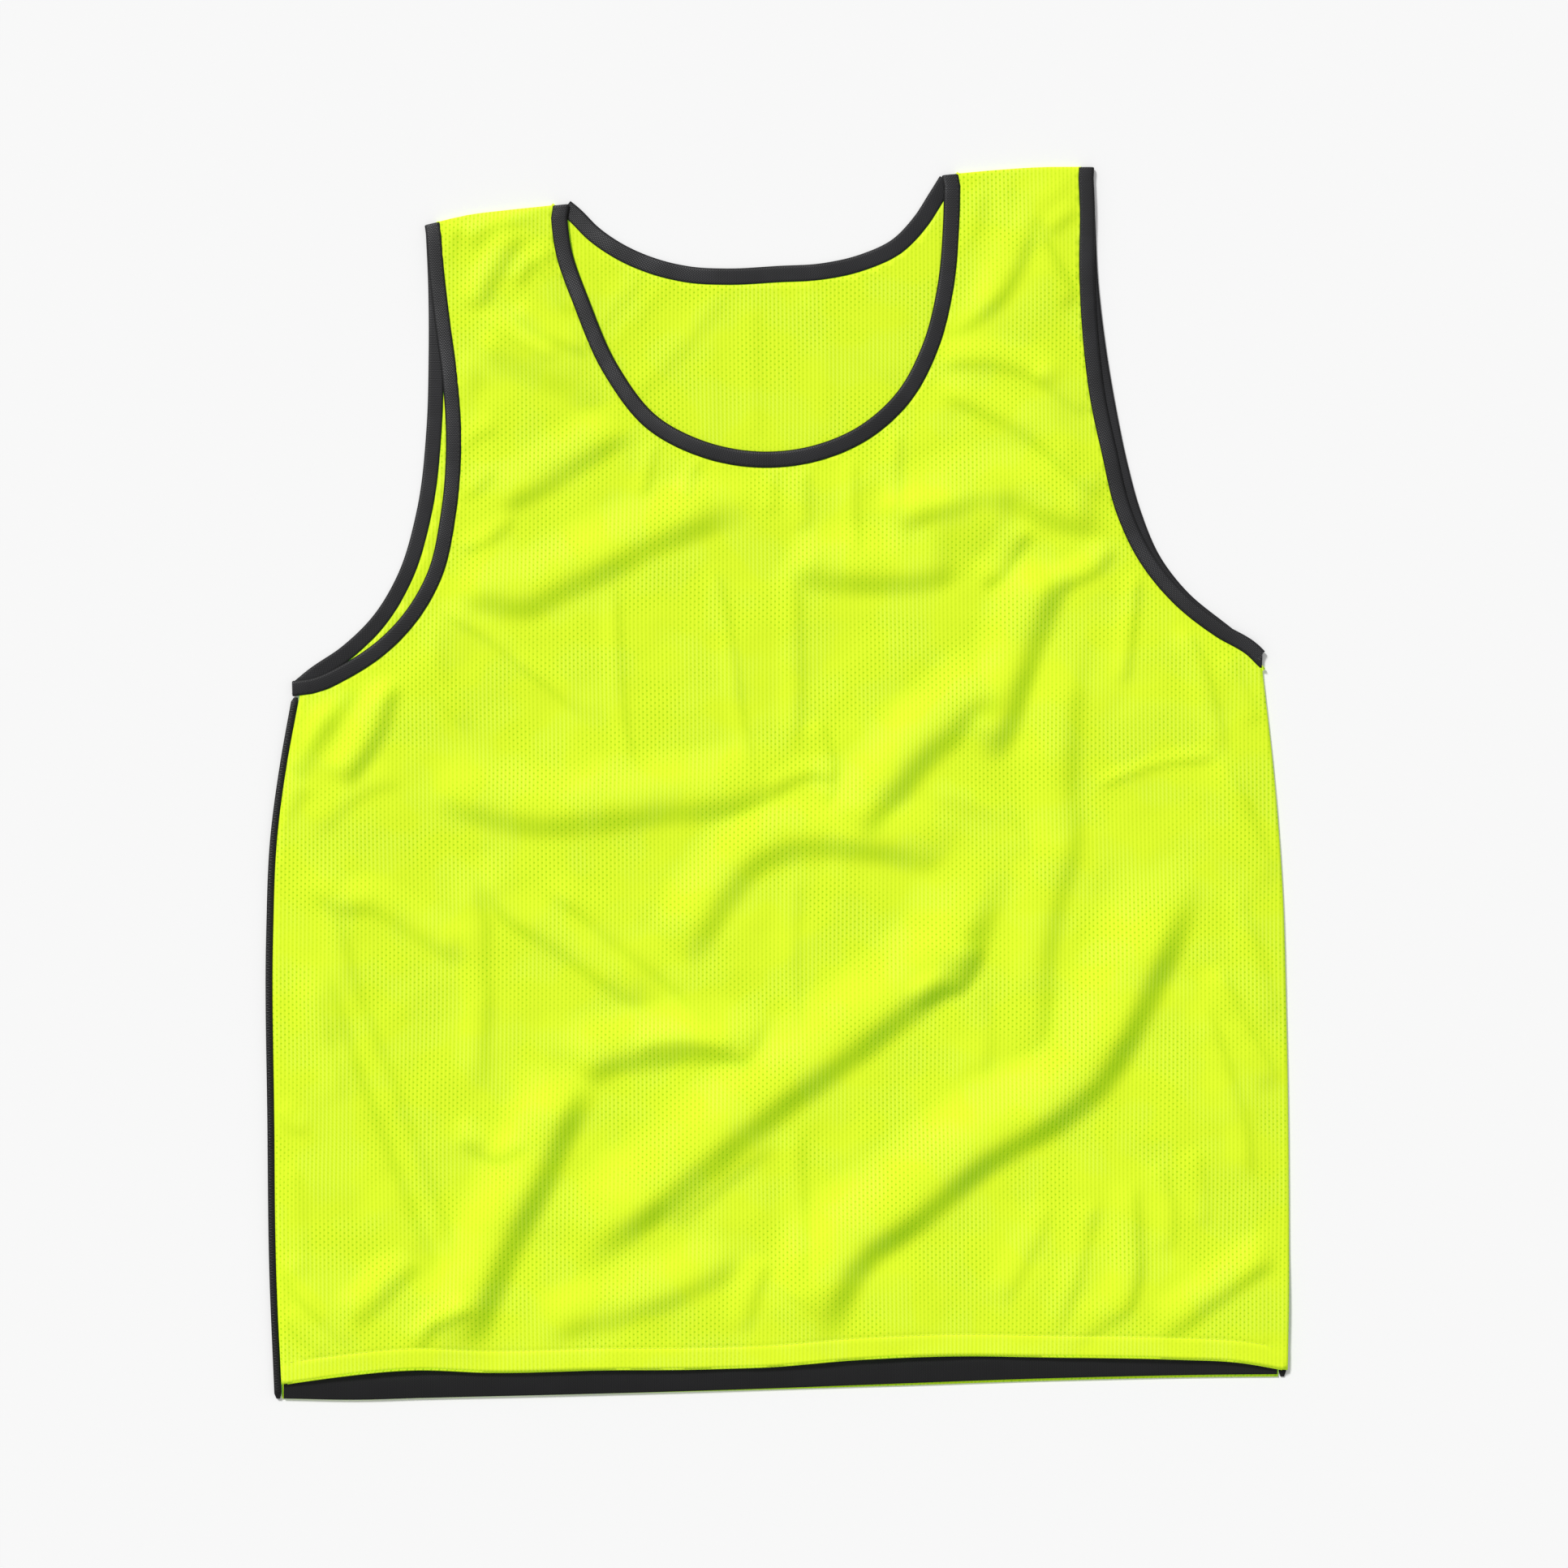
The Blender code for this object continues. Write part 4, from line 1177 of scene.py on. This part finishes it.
@dataclass
class BackPanel(Panel):
    """The back, lying flat, with its creases in the scoop of the neck and slight ones beyond."""

    spacing: float = 5.0
    cut_width: float = 0.586
    cut_length: float = 0.728
    cut_area: float = 0.345
    seam_pinch: float = 2.6
    crease_fade: float = 6.0
    base: float = 0.33
    wave: float = 0.10
    shown_from: float = 500.0
    held_reach: float = 6.0

    def left_side(self) -> Line:
        """The edge beside the left piping."""
        corner = (BACK_HEM[0][0] - SEAM_GAP, BACK_HEM[0][1])
        return side_line(SIDE_LEFT, PIPING_WIDTH, corner, BACK_ARM_LEFT[0])

    def right_side(self) -> Line:
        """The edge beside the right piping."""
        return side_line(SIDE_RIGHT, PIPING_WIDTH + 2 * SEAM_GAP, BACK_HEM[-1], BACK_ARM_RIGHT[0])

    def level(self, points: np.ndarray) -> np.ndarray:
        """The height of the middle of the cloth at these points.

        Args:
            points: an array of (x, y) points.

        Returns:
            The height at each.
        """
        x = points[:, 0]
        y = points[:, 1]
        seams = [Line(line).every(SEAM_STEP) for line in (BACK_NECK, BACK_ARM_LEFT, BACK_ARM_RIGHT)]
        seams.append(Line(FRONT_NECK).every(SEAM_STEP))
        nearest = np.min([np.abs(beside(points, seam)[0]) for seam in seams], axis=0)
        shown = y > self.shown_from
        creases = sum(crease.shape(points)[0] for crease in SCOOP_CREASES) * shown
        hidden = 0.5 + 0.5 * np.sin(x / 19 + 1.8 * np.sin(y / 43)) * np.sin(y / 26 - x / 61)
        level = self.base + self.wave * hidden + ramp(nearest / self.crease_fade) * creases
        near_seam = 1 - ramp(nearest / self.held_reach)
        level = level + near_seam * (BACK_LEVEL - level)
        for shoulder in (SHOULDER_LEFT, SHOULDER_RIGHT):
            away = np.abs(beside(points, Line(shoulder).every(SEAM_STEP))[0])
            inner = np.clip(1 - away / self.seam_pinch, 0, 1)
            level = level + (MEETING_LEVEL - BACK_LEVEL) * (1 - np.sqrt(1 - inner**2))
        return level

    def build(self, material: bpy.types.Material) -> bpy.types.Object:
        """Makes the back's cloth.

        Args:
            material: the knit.

        Returns:
            The object.
        """
        outline = distinct(np.vstack([
            Line(BACK_HEM).every(self.edge_step),
            self.right_side().every(self.edge_step),
            self.tucked(BACK_ARM_RIGHT, -1.0),
            Line(SHOULDER_RIGHT).every(self.edge_step)[::-1],
            self.tucked(BACK_NECK, 1.0)[::-1],
            Line(SHOULDER_LEFT).every(self.edge_step)[::-1],
            self.tucked(BACK_ARM_LEFT, 1.0)[::-1],
            self.left_side().every(self.edge_step)[::-1],
        ]))
        rows = []
        for shoulder in (SHOULDER_LEFT, SHOULDER_RIGHT):
            line = Line(shoulder).every(self.edge_step)
            rows += [line - left_normals(line) * inset for inset in (0.3, 1.1, 2.6)]
        guides = np.vstack([row[1:-1] for row in rows])
        # The scoop's creases lay painted shade on their steep sides, partly the knit pulled open.
        held = {PULL_AND_SHADE_NAME: lambda points: pull_and_shade_of(points, SCOOP_CREASES)}
        piece = self.cloth("back_cloth", outline, guides, self.level, held, material)
        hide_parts("back_panel")
        return piece


class Way(Enum):
    """Which way a binding goes where it turns over the edge of the bib."""

    RISING = "from the back up to the front"
    FALLING = "from the front down to the back"


@dataclass
class Station:
    """A place along a binding: its seam, the unit way across it, the way its outside faces, and its layer."""

    seam: np.ndarray
    across: np.ndarray
    outside: np.ndarray
    front_share: float


@dataclass
class Stitches:
    """A row of thread stitches, each a small rounded bead of thread half sunk in the cloth."""

    pitch: float = 2.9
    length: float = 2.2
    thread: float = 0.42

    def bead(self) -> tuple[np.ndarray, list[list[int]]]:
        """The points and faces of one stitch of unit size, along x, modelled as a small sphere.

        Returns:
            Its points, and its faces as numbers of points.
        """
        bpy.ops.object.select_all(action="DESELECT")
        bpy.ops.mesh.primitive_uv_sphere_add(
            segments=6, ring_count=4, radius=0.5, rotation=(0.0, math.pi / 2, 0.0)
        )
        ball = bpy.context.object
        bpy.ops.object.transform_apply(location=False, rotation=True, scale=False)
        points = np.array([tuple(vertex.co) for vertex in ball.data.vertices])
        faces = [list(face.vertices) for face in ball.data.polygons]
        bpy.data.objects.remove(ball, do_unlink=True)
        return points, faces

    def build(self, name: str, path: np.ndarray, outside: np.ndarray, material: bpy.types.Material,
              slot: str) -> bpy.types.Object:
        """Makes the row.

        Args:
            name: the piece's name.
            path: the points of the seam that the row follows, on the cloth's face.
            outside: the way that the cloth faces at each.
            material: the thread's finish.
            slot: not used.

        Returns:
            The object, all its stitches joined.
        """
        bead, bead_faces = self.bead()
        steps = np.linalg.norm(np.diff(path, axis=0), axis=1)
        passed = np.concatenate([[0.0], np.cumsum(steps)])
        places = np.arange(self.pitch / 2, passed[-1], self.pitch)
        centres = np.stack([np.interp(places, passed, path[:, k]) for k in range(3)], axis=1)
        ups = np.stack([np.interp(places, passed, outside[:, k]) for k in range(3)], axis=1)
        ups /= np.linalg.norm(ups, axis=1, keepdims=True)
        ways = np.gradient(centres, axis=0)
        ways /= np.linalg.norm(ways, axis=1, keepdims=True)
        sides = np.cross(ups, ways)
        size = np.array([self.length, self.thread, self.thread])
        vertices = []
        faces = []
        flat = []
        for i, (centre, way, side, up) in enumerate(zip(centres, ways, sides, ups)):
            sized = bead * size
            vertices.append(centre + sized @ np.stack([way, side, up]))
            faces += [[corner + i * len(bead) for corner in face] for face in bead_faces]
            flat += [sized[corner][:2] for face in bead_faces for corner in face]
        return make_piece(name, Shape(np.vstack(vertices), faces, np.array(flat)), material)


@dataclass
class Binding:
    """A folded tape sewn over a cut edge, with the cloth between its two leaves, closed as a ring."""

    name: str
    node: str
    width: float
    front_line: np.ndarray
    back_line: np.ndarray
    end_bend: list[Station]
    start_bend: list[Station]
    corner_clear: float = 8.0
    leaf_inside: float = 0.34
    slot_depth: float = 2.7
    front_crown: float = 1.05
    back_crown: float = 0.57
    inner_crown: float = 0.70
    stitch_inset: float = 1.3

    # The rounding across a leaf: the place across it as a share of its width, and the share of its crown there
    LEAF = (
        (-0.011, 0.25), (0.015, 0.62), (0.075, 0.84), (0.2, 0.95), (0.5, 1.0), (0.8, 0.94), (0.93, 0.72),
    )

    def profile(self, front_share: float) -> np.ndarray:
        """The places across and outward of the points round the tape, at a layer from 0, the back, to 1.

        Args:
            front_share: the layer.

        Returns:
            An (across, outward) pair for each point.
        """
        outer = self.back_crown + (self.front_crown - self.back_crown) * front_share
        base = self.leaf_inside + 0.04
        top = [(self.width * at, base + (outer - base) * share) for at, share in self.LEAF]
        under = [(self.width * at, -base - (self.inner_crown - base) * share) for at, share in self.LEAF]
        edge = [(self.width * 0.985, 0.3), (self.width, 0.0), (self.width * 0.985, -0.3)]
        start = top[0][0]
        slot = [
            (start, -self.leaf_inside), (self.slot_depth, -self.leaf_inside),
            (self.slot_depth, self.leaf_inside), (start, self.leaf_inside),
        ]
        return np.array(top + edge + under[::-1] + slot)

    def ribbon(self, line: np.ndarray, on_front: bool) -> list[Station]:
        """The stations of a stretch along a panel's edge, with the opening on its left.

        Args:
            line: the points of the panel's edge.
            on_front: whether the panel is the front.

        Returns:
            The stations, clear of the corners.
        """
        level = FRONT_LEVEL if on_front else BACK_LEVEL
        share = 1.0 if on_front else 0.0
        outside = np.array([0.0, 0.0, 2 * share - 1.0])
        step = float(np.linalg.norm(line[1] - line[0]))
        skip = max(1, round(self.corner_clear / step))
        found = []
        for point, normal in list(zip(line, left_normals(line)))[skip:-skip]:
            found.append(Station(np.append(point, level), np.append(normal, 0.0), outside, share))
        return found

    def stations(self) -> list[Station]:
        """All the stations round the ring, starting on the front."""
        back = self.ribbon(self.back_line[::-1], False)[::-1]
        return self.ribbon(self.front_line, True) + self.end_bend + back + self.start_bend

    def build(self, tape: bpy.types.Material, thread: bpy.types.Material) -> list[bpy.types.Object]:
        """Makes the binding and the row of stitches along it.

        Args:
            tape: the tape's finish.
            thread: the thread's finish.

        Returns:
            Both objects.
        """
        stations = self.stations()
        sections = []
        for place in stations:
            profile = self.profile(place.front_share)
            sections.append(place.seam + profile[:, :1] * place.across + profile[:, 1:] * place.outside)
        across = self.profile(1.0)[:, 0]
        piece = make_piece(self.name, tube(np.array(sections), across, True), tape)
        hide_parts(self.node)
        rises = [self.back_crown + (self.front_crown - self.back_crown) * s.front_share for s in stations]
        path = np.array([
            s.seam + s.across * self.stitch_inset + s.outside * (rise * 0.97) for s, rise in zip(stations, rises)
        ])
        outside = np.array([s.outside for s in stations])
        path[:, 2] = np.maximum(path[:, 2], Stitches.thread / 2)
        closed = np.vstack([path, path[:1]])
        row = Stitches().build(
            f"{self.name}_stitches", closed, np.vstack([outside, outside[:1]]), thread, "binding_cloth"
        )
        return [piece, row]


def bend(seam: np.ndarray, across: np.ndarray, outward: np.ndarray, way: Way) -> list[Station]:
    """The stations where a binding turns over the edge of the bib, from one layer to the other.

    Args:
        seam: the seam's (x, y) point on the line that it turns about.
        across: the unit (x, y) vector across the tape on that line.
        outward: the unit (x, y) vector out of the bib.
        way: which way it goes.

    Returns:
        The stations, from one layer to the other.
    """
    found = []
    for angle in np.linspace(0, math.pi, BEND_STEPS):
        turn = math.pi - angle if way is Way.RISING else angle
        out = np.array([outward[0] * math.sin(turn), outward[1] * math.sin(turn), math.cos(turn)])
        place = np.append(seam, MEETING_LEVEL) + out * LAYER_RADIUS
        found.append(Station(place, np.append(across, 0.0), out, max(math.cos(turn), 0.0)))
    return found


def shoulder_bend(corner: Point, towards: Point, gap: float, way: Way) -> list[Station]:
    """The stations where a binding turns over a shoulder.

    Args:
        corner: the panels' corner at the shoulder.
        towards: a point on the shoulder's line on the panel's side of the corner.
        gap: how far along the shoulder's line the binding starts from the corner.
        way: which way it goes.

    Returns:
        The stations, from one layer to the other.
    """
    along = np.array(corner) - np.array(towards)
    along /= np.linalg.norm(along)
    outward = np.array([-along[1], along[0]])
    outward *= np.sign(outward[1])
    seam = np.array(corner) + along * gap - outward * BEND_INSET
    return bend(seam, along, outward, way)


def neck_binding() -> Binding:
    """The binding round the neck.

    Returns:
        The binding, ready to build.
    """
    return Binding(
        "neck_binding_cloth", "neck_binding", 9.3,
        Line(FRONT_NECK).every(BINDING_STEP),
        Line(BACK_NECK).every(BINDING_STEP)[::-1],
        shoulder_bend(SHOULDER_RIGHT[0], SHOULDER_RIGHT[1], 1.3, Way.FALLING),
        shoulder_bend(SHOULDER_LEFT[-1], SHOULDER_LEFT[-2], 1.3, Way.RISING),
    )


def armhole_binding_left() -> Binding:
    """The binding round the left armhole.

    Returns:
        The binding, ready to build.
    """
    under = bend(np.array([-277.6, 396.4]), np.array([-0.03, 1.0]), np.array([-1.0, 0.0]), Way.RISING)
    return Binding(
        "armhole_binding_cloth_left", "armhole_binding_left", 8.7,
        Line(FRONT_ARM_LEFT).every(BINDING_STEP),
        Line(BACK_ARM_LEFT).every(BINDING_STEP)[::-1],
        shoulder_bend(SHOULDER_LEFT[0], SHOULDER_LEFT[1], 0.6, Way.FALLING),
        under,
    )


def armhole_binding_right() -> Binding:
    """The binding round the right armhole.

    Returns:
        The binding, ready to build.
    """
    under = bend(np.array([275.4, 412.7]), np.array([0.03, 1.0]), np.array([1.0, 0.0]), Way.FALLING)
    return Binding(
        "armhole_binding_cloth_right", "armhole_binding_right", 8.7,
        Line(FRONT_ARM_RIGHT).every(BINDING_STEP)[::-1],
        Line(BACK_ARM_RIGHT).every(BINDING_STEP),
        under,
        shoulder_bend(SHOULDER_RIGHT[-1], SHOULDER_RIGHT[-2], 0.6, Way.RISING),
    )


@dataclass
class SidePiping:
    """The strips of folded tape sewn into the side seams."""

    step: float = 3.0
    left_height: float = 2.75
    right_height: float = 1.15
    end_round: float = 3.0

    def rounded(self, low: float, high: float, bottom: float, top: float) -> list[Point]:
        """The (x, z) points of a flattened round section between these limits.

        Args:
            low: its least x.
            high: its greatest x.
            bottom: its least z.
            top: its greatest z.

        Returns:
            The points in order round it.
        """
        middle = np.array([(low + high) / 2, (bottom + top) / 2])
        half = np.array([(high - low) / 2, (top - bottom) / 2])
        found = []
        for angle in np.linspace(0, 2 * math.pi, SECTION_POINTS, endpoint=False):
            way = np.array([math.cos(angle), math.sin(angle)])
            squared = np.sign(way) * np.abs(way) ** 0.5
            found.append(tuple(middle + half * squared))
        return found

    def strip(self, name: str, node: str, outline: np.ndarray, outer: float, inner: float, height: float,
              tape: bpy.types.Material) -> bpy.types.Object:
        """One side's strip.

        Args:
            name: the piece's name.
            node: the node that it stands for.
            outline: the points of the side.
            outer: the place of its outer edge beside them.
            inner: the place of its inner edge.
            height: how high it stands.
            tape: its finish.

        Returns:
            The object.
        """
        sections = []
        passed = np.concatenate([[0.0], np.cumsum(np.linalg.norm(np.diff(outline, axis=0), axis=1))])
        for (x, y), done in zip(outline, passed):
            left = min(done, passed[-1] - done) / self.end_round
            full = math.sqrt(1 - max(0.0, 1 - left - 0.15) ** 2)
            middle = (outer + inner) / 2
            reach = (outer - inner) / 2 * full
            points = self.rounded(x + middle - abs(reach), x + middle + abs(reach), 0.0, height * full)
            sections.append([(px, y, pz) for px, pz in points])
        across = np.linspace(0, 2 * abs(outer - inner), SECTION_POINTS, endpoint=False) % abs(outer - inner)
        piece = make_piece(name, tube(np.array(sections), across, False), tape)
        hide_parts(node)
        return piece

    def build(self, tape: bpy.types.Material) -> list[bpy.types.Object]:
        """Makes both strips.

        Args:
            tape: their finish.

        Returns:
            The left and the right strip.
        """
        left = Line(SIDE_LEFT).every(self.step)
        left[-1, 1] -= 2 * SEAM_GAP
        right = Line(SIDE_RIGHT).every(self.step)
        return [
            self.strip("side_piping_cloth_left", "side_piping_left", left, 0.0, PIPING_WIDTH - 0.05,
                       self.left_height, tape),
            self.strip("side_piping_cloth_right", "side_piping_right", right, -2 * SEAM_GAP,
                       -2 * SEAM_GAP - PIPING_WIDTH, self.right_height, tape),
        ]


@dataclass
class HemTape:
    """The tape on the inside of the back's hem, seen below the front's hem."""

    width: float = 20.0
    bottom: float = 1.0
    thickness: float = 0.75
    step: float = 3.0
    step_right: float = 1.4
    end_gap: float = 0.6

    def build(self, tape: bpy.types.Material) -> bpy.types.Object:
        """Makes the tape.

        Args:
            tape: its finish.

        Returns:
            The object.
        """
        hem = Line(BACK_HEM).every(self.step)
        hem[0, 0] += self.end_gap
        hem[-1, 0] -= self.end_gap
        top = self.bottom + self.thickness
        profile = np.array([
            (0.0, self.bottom + 0.2), (0.15, top - 0.15), (0.7, top), (1.6, top - 0.12), (2.4, top),
            (self.width / 2, top + 0.15), (self.width - 0.7, top), (self.width, self.bottom + 0.3),
            (self.width - 0.5, self.bottom), (0.5, self.bottom),
        ])
        sections = []
        for share, (x, y) in zip(np.linspace(0, 1, len(hem)), hem):
            low = y + self.step_right * float(ramp(np.array(2 * share - 0.5)))
            sections.append([(x, low + up, z) for up, z in profile])
        piece = make_piece("back_hem_tape", tube(np.array(sections), profile[:, 0], False), tape)
        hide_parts("hem_tape")
        return piece


@dataclass
class Studio:
    """The plain floor, the soft light and the camera straight above the bib."""

    floor_half: float = 4.0
    floor_level: float = -0.0003
    lens: float = 85.0
    sensor: float = 36.0
    view_width: float = 0.8984
    view_centre: Point = (2.8, 346.0)
    sun_strength: float = 2.6
    sun_angle: float = 12.0
    sun_elevation: float = 41.0
    sun_azimuth: float = 126.0
    sky_strength: float = 0.36

    def floor(self) -> None:
        """Lays the floor."""
        bpy.ops.object.select_all(action="DESELECT")
        bpy.ops.mesh.primitive_plane_add(size=2 * self.floor_half, location=(0.0, 0.0, self.floor_level))
        plane = bpy.context.object
        plane.name = "studio_floor"
        bpy.ops.object.transform_apply(location=True, rotation=False, scale=True)
        plane.data.materials.append(FloorFinish().make())

    def light(self) -> None:
        """Adds the large soft light from the upper left and the even light of a pale room."""
        elevation = math.radians(self.sun_elevation)
        azimuth = math.radians(self.sun_azimuth)
        source = Vector((
            math.cos(azimuth) * math.cos(elevation), math.sin(azimuth) * math.cos(elevation), math.sin(elevation),
        ))
        bpy.ops.object.light_add(type="SUN", location=source * 3)
        sun = bpy.context.object
        sun.name = "soft_key_light"
        sun.rotation_euler = source.to_track_quat("Z", "Y").to_euler()
        sun.data.energy = self.sun_strength
        sun.data.angle = math.radians(self.sun_angle)
        world = bpy.data.worlds.new("pale room")
        world.use_nodes = True
        background = world.node_tree.nodes["Background"]
        background.inputs["Color"].default_value = (1.0, 1.0, 1.0, 1.0)
        background.inputs["Strength"].default_value = self.sky_strength
        bpy.context.scene.world = world

    def camera(self) -> None:
        """Adds the camera."""
        height = self.view_width / 2 * self.lens / (self.sensor / 2)
        x = (self.view_centre[0] - MIDDLE[0]) * MM
        y = (self.view_centre[1] - MIDDLE[1]) * MM
        bpy.ops.object.camera_add(location=(x, y, height + FRONT_LEVEL * MM), rotation=(0.0, 0.0, 0.0))
        camera = bpy.context.object
        camera.name = "camera_above"
        camera.data.lens = self.lens
        camera.data.sensor_width = self.sensor
        bpy.context.scene.camera = camera
        bpy.context.scene.view_settings.view_transform = "Standard"

    def build(self) -> None:
        """Sets up the studio."""
        self.floor()
        self.light()
        self.camera()


def hem_stitches(front: FrontPanel, thread: bpy.types.Material) -> bpy.types.Object:
    """The row of stitches along the top of the front's turned hem.

    Args:
        front: the front panel.
        thread: the thread's finish.

    Returns:
        The object.
    """
    line = Line(FRONT_HEM).every(4.0)[1:-1] + np.array([0.0, front.band_width])
    level = front.level(line) + front.thickness / 2
    path = np.column_stack([line, level + 0.06])
    up = np.tile([0.0, 0.0, 1.0], (len(path), 1))
    return Stitches().build("front_hem_stitches", path, up, thread, "mesh_cloth")


def main() -> None:
    """Builds the bib and its studio."""
    logging.basicConfig(level=logging.INFO)
    knit = KnitFinish().make()
    # Each tape's middle colour is a painted sheen along its crown, and its edge colour painted shade.
    neck_tape = TapeFinish("black neck binding", 0.0093).make()
    arm_tape = TapeFinish("black armhole binding", 0.0087).make()
    side_tape = TapeFinish("black side piping", PIPING_WIDTH * MM, middle=(0.004, 0.004, 0.0045)).make()
    hem_tape = TapeFinish("black hem tape", 0.020, middle=(0.010, 0.010, 0.011)).make()
    # The second colour of each thread is its painted shade between the plies.
    neon_thread = ThreadFinish("neon thread", (0.86, 0.97, 0.10), (0.60, 0.75, 0.02)).make()
    black_thread = ThreadFinish("black thread", (0.02, 0.02, 0.022), (0.008, 0.008, 0.009)).make()

    front = FrontPanel()
    back = BackPanel()
    front_cloth = front.build(knit)
    hem_turn = front.hem_turn(knit)
    front_stitches = hem_stitches(front, neon_thread)
    back_cloth = back.build(knit)
    neck = neck_binding().build(neck_tape, black_thread)
    arms = armhole_binding_left().build(arm_tape, black_thread)
    arms += armhole_binding_right().build(arm_tape, black_thread)
    piping = SidePiping().build(side_tape)
    tape = HemTape().build(hem_tape)

    Studio().build()


if __name__ == "__main__":
    main()
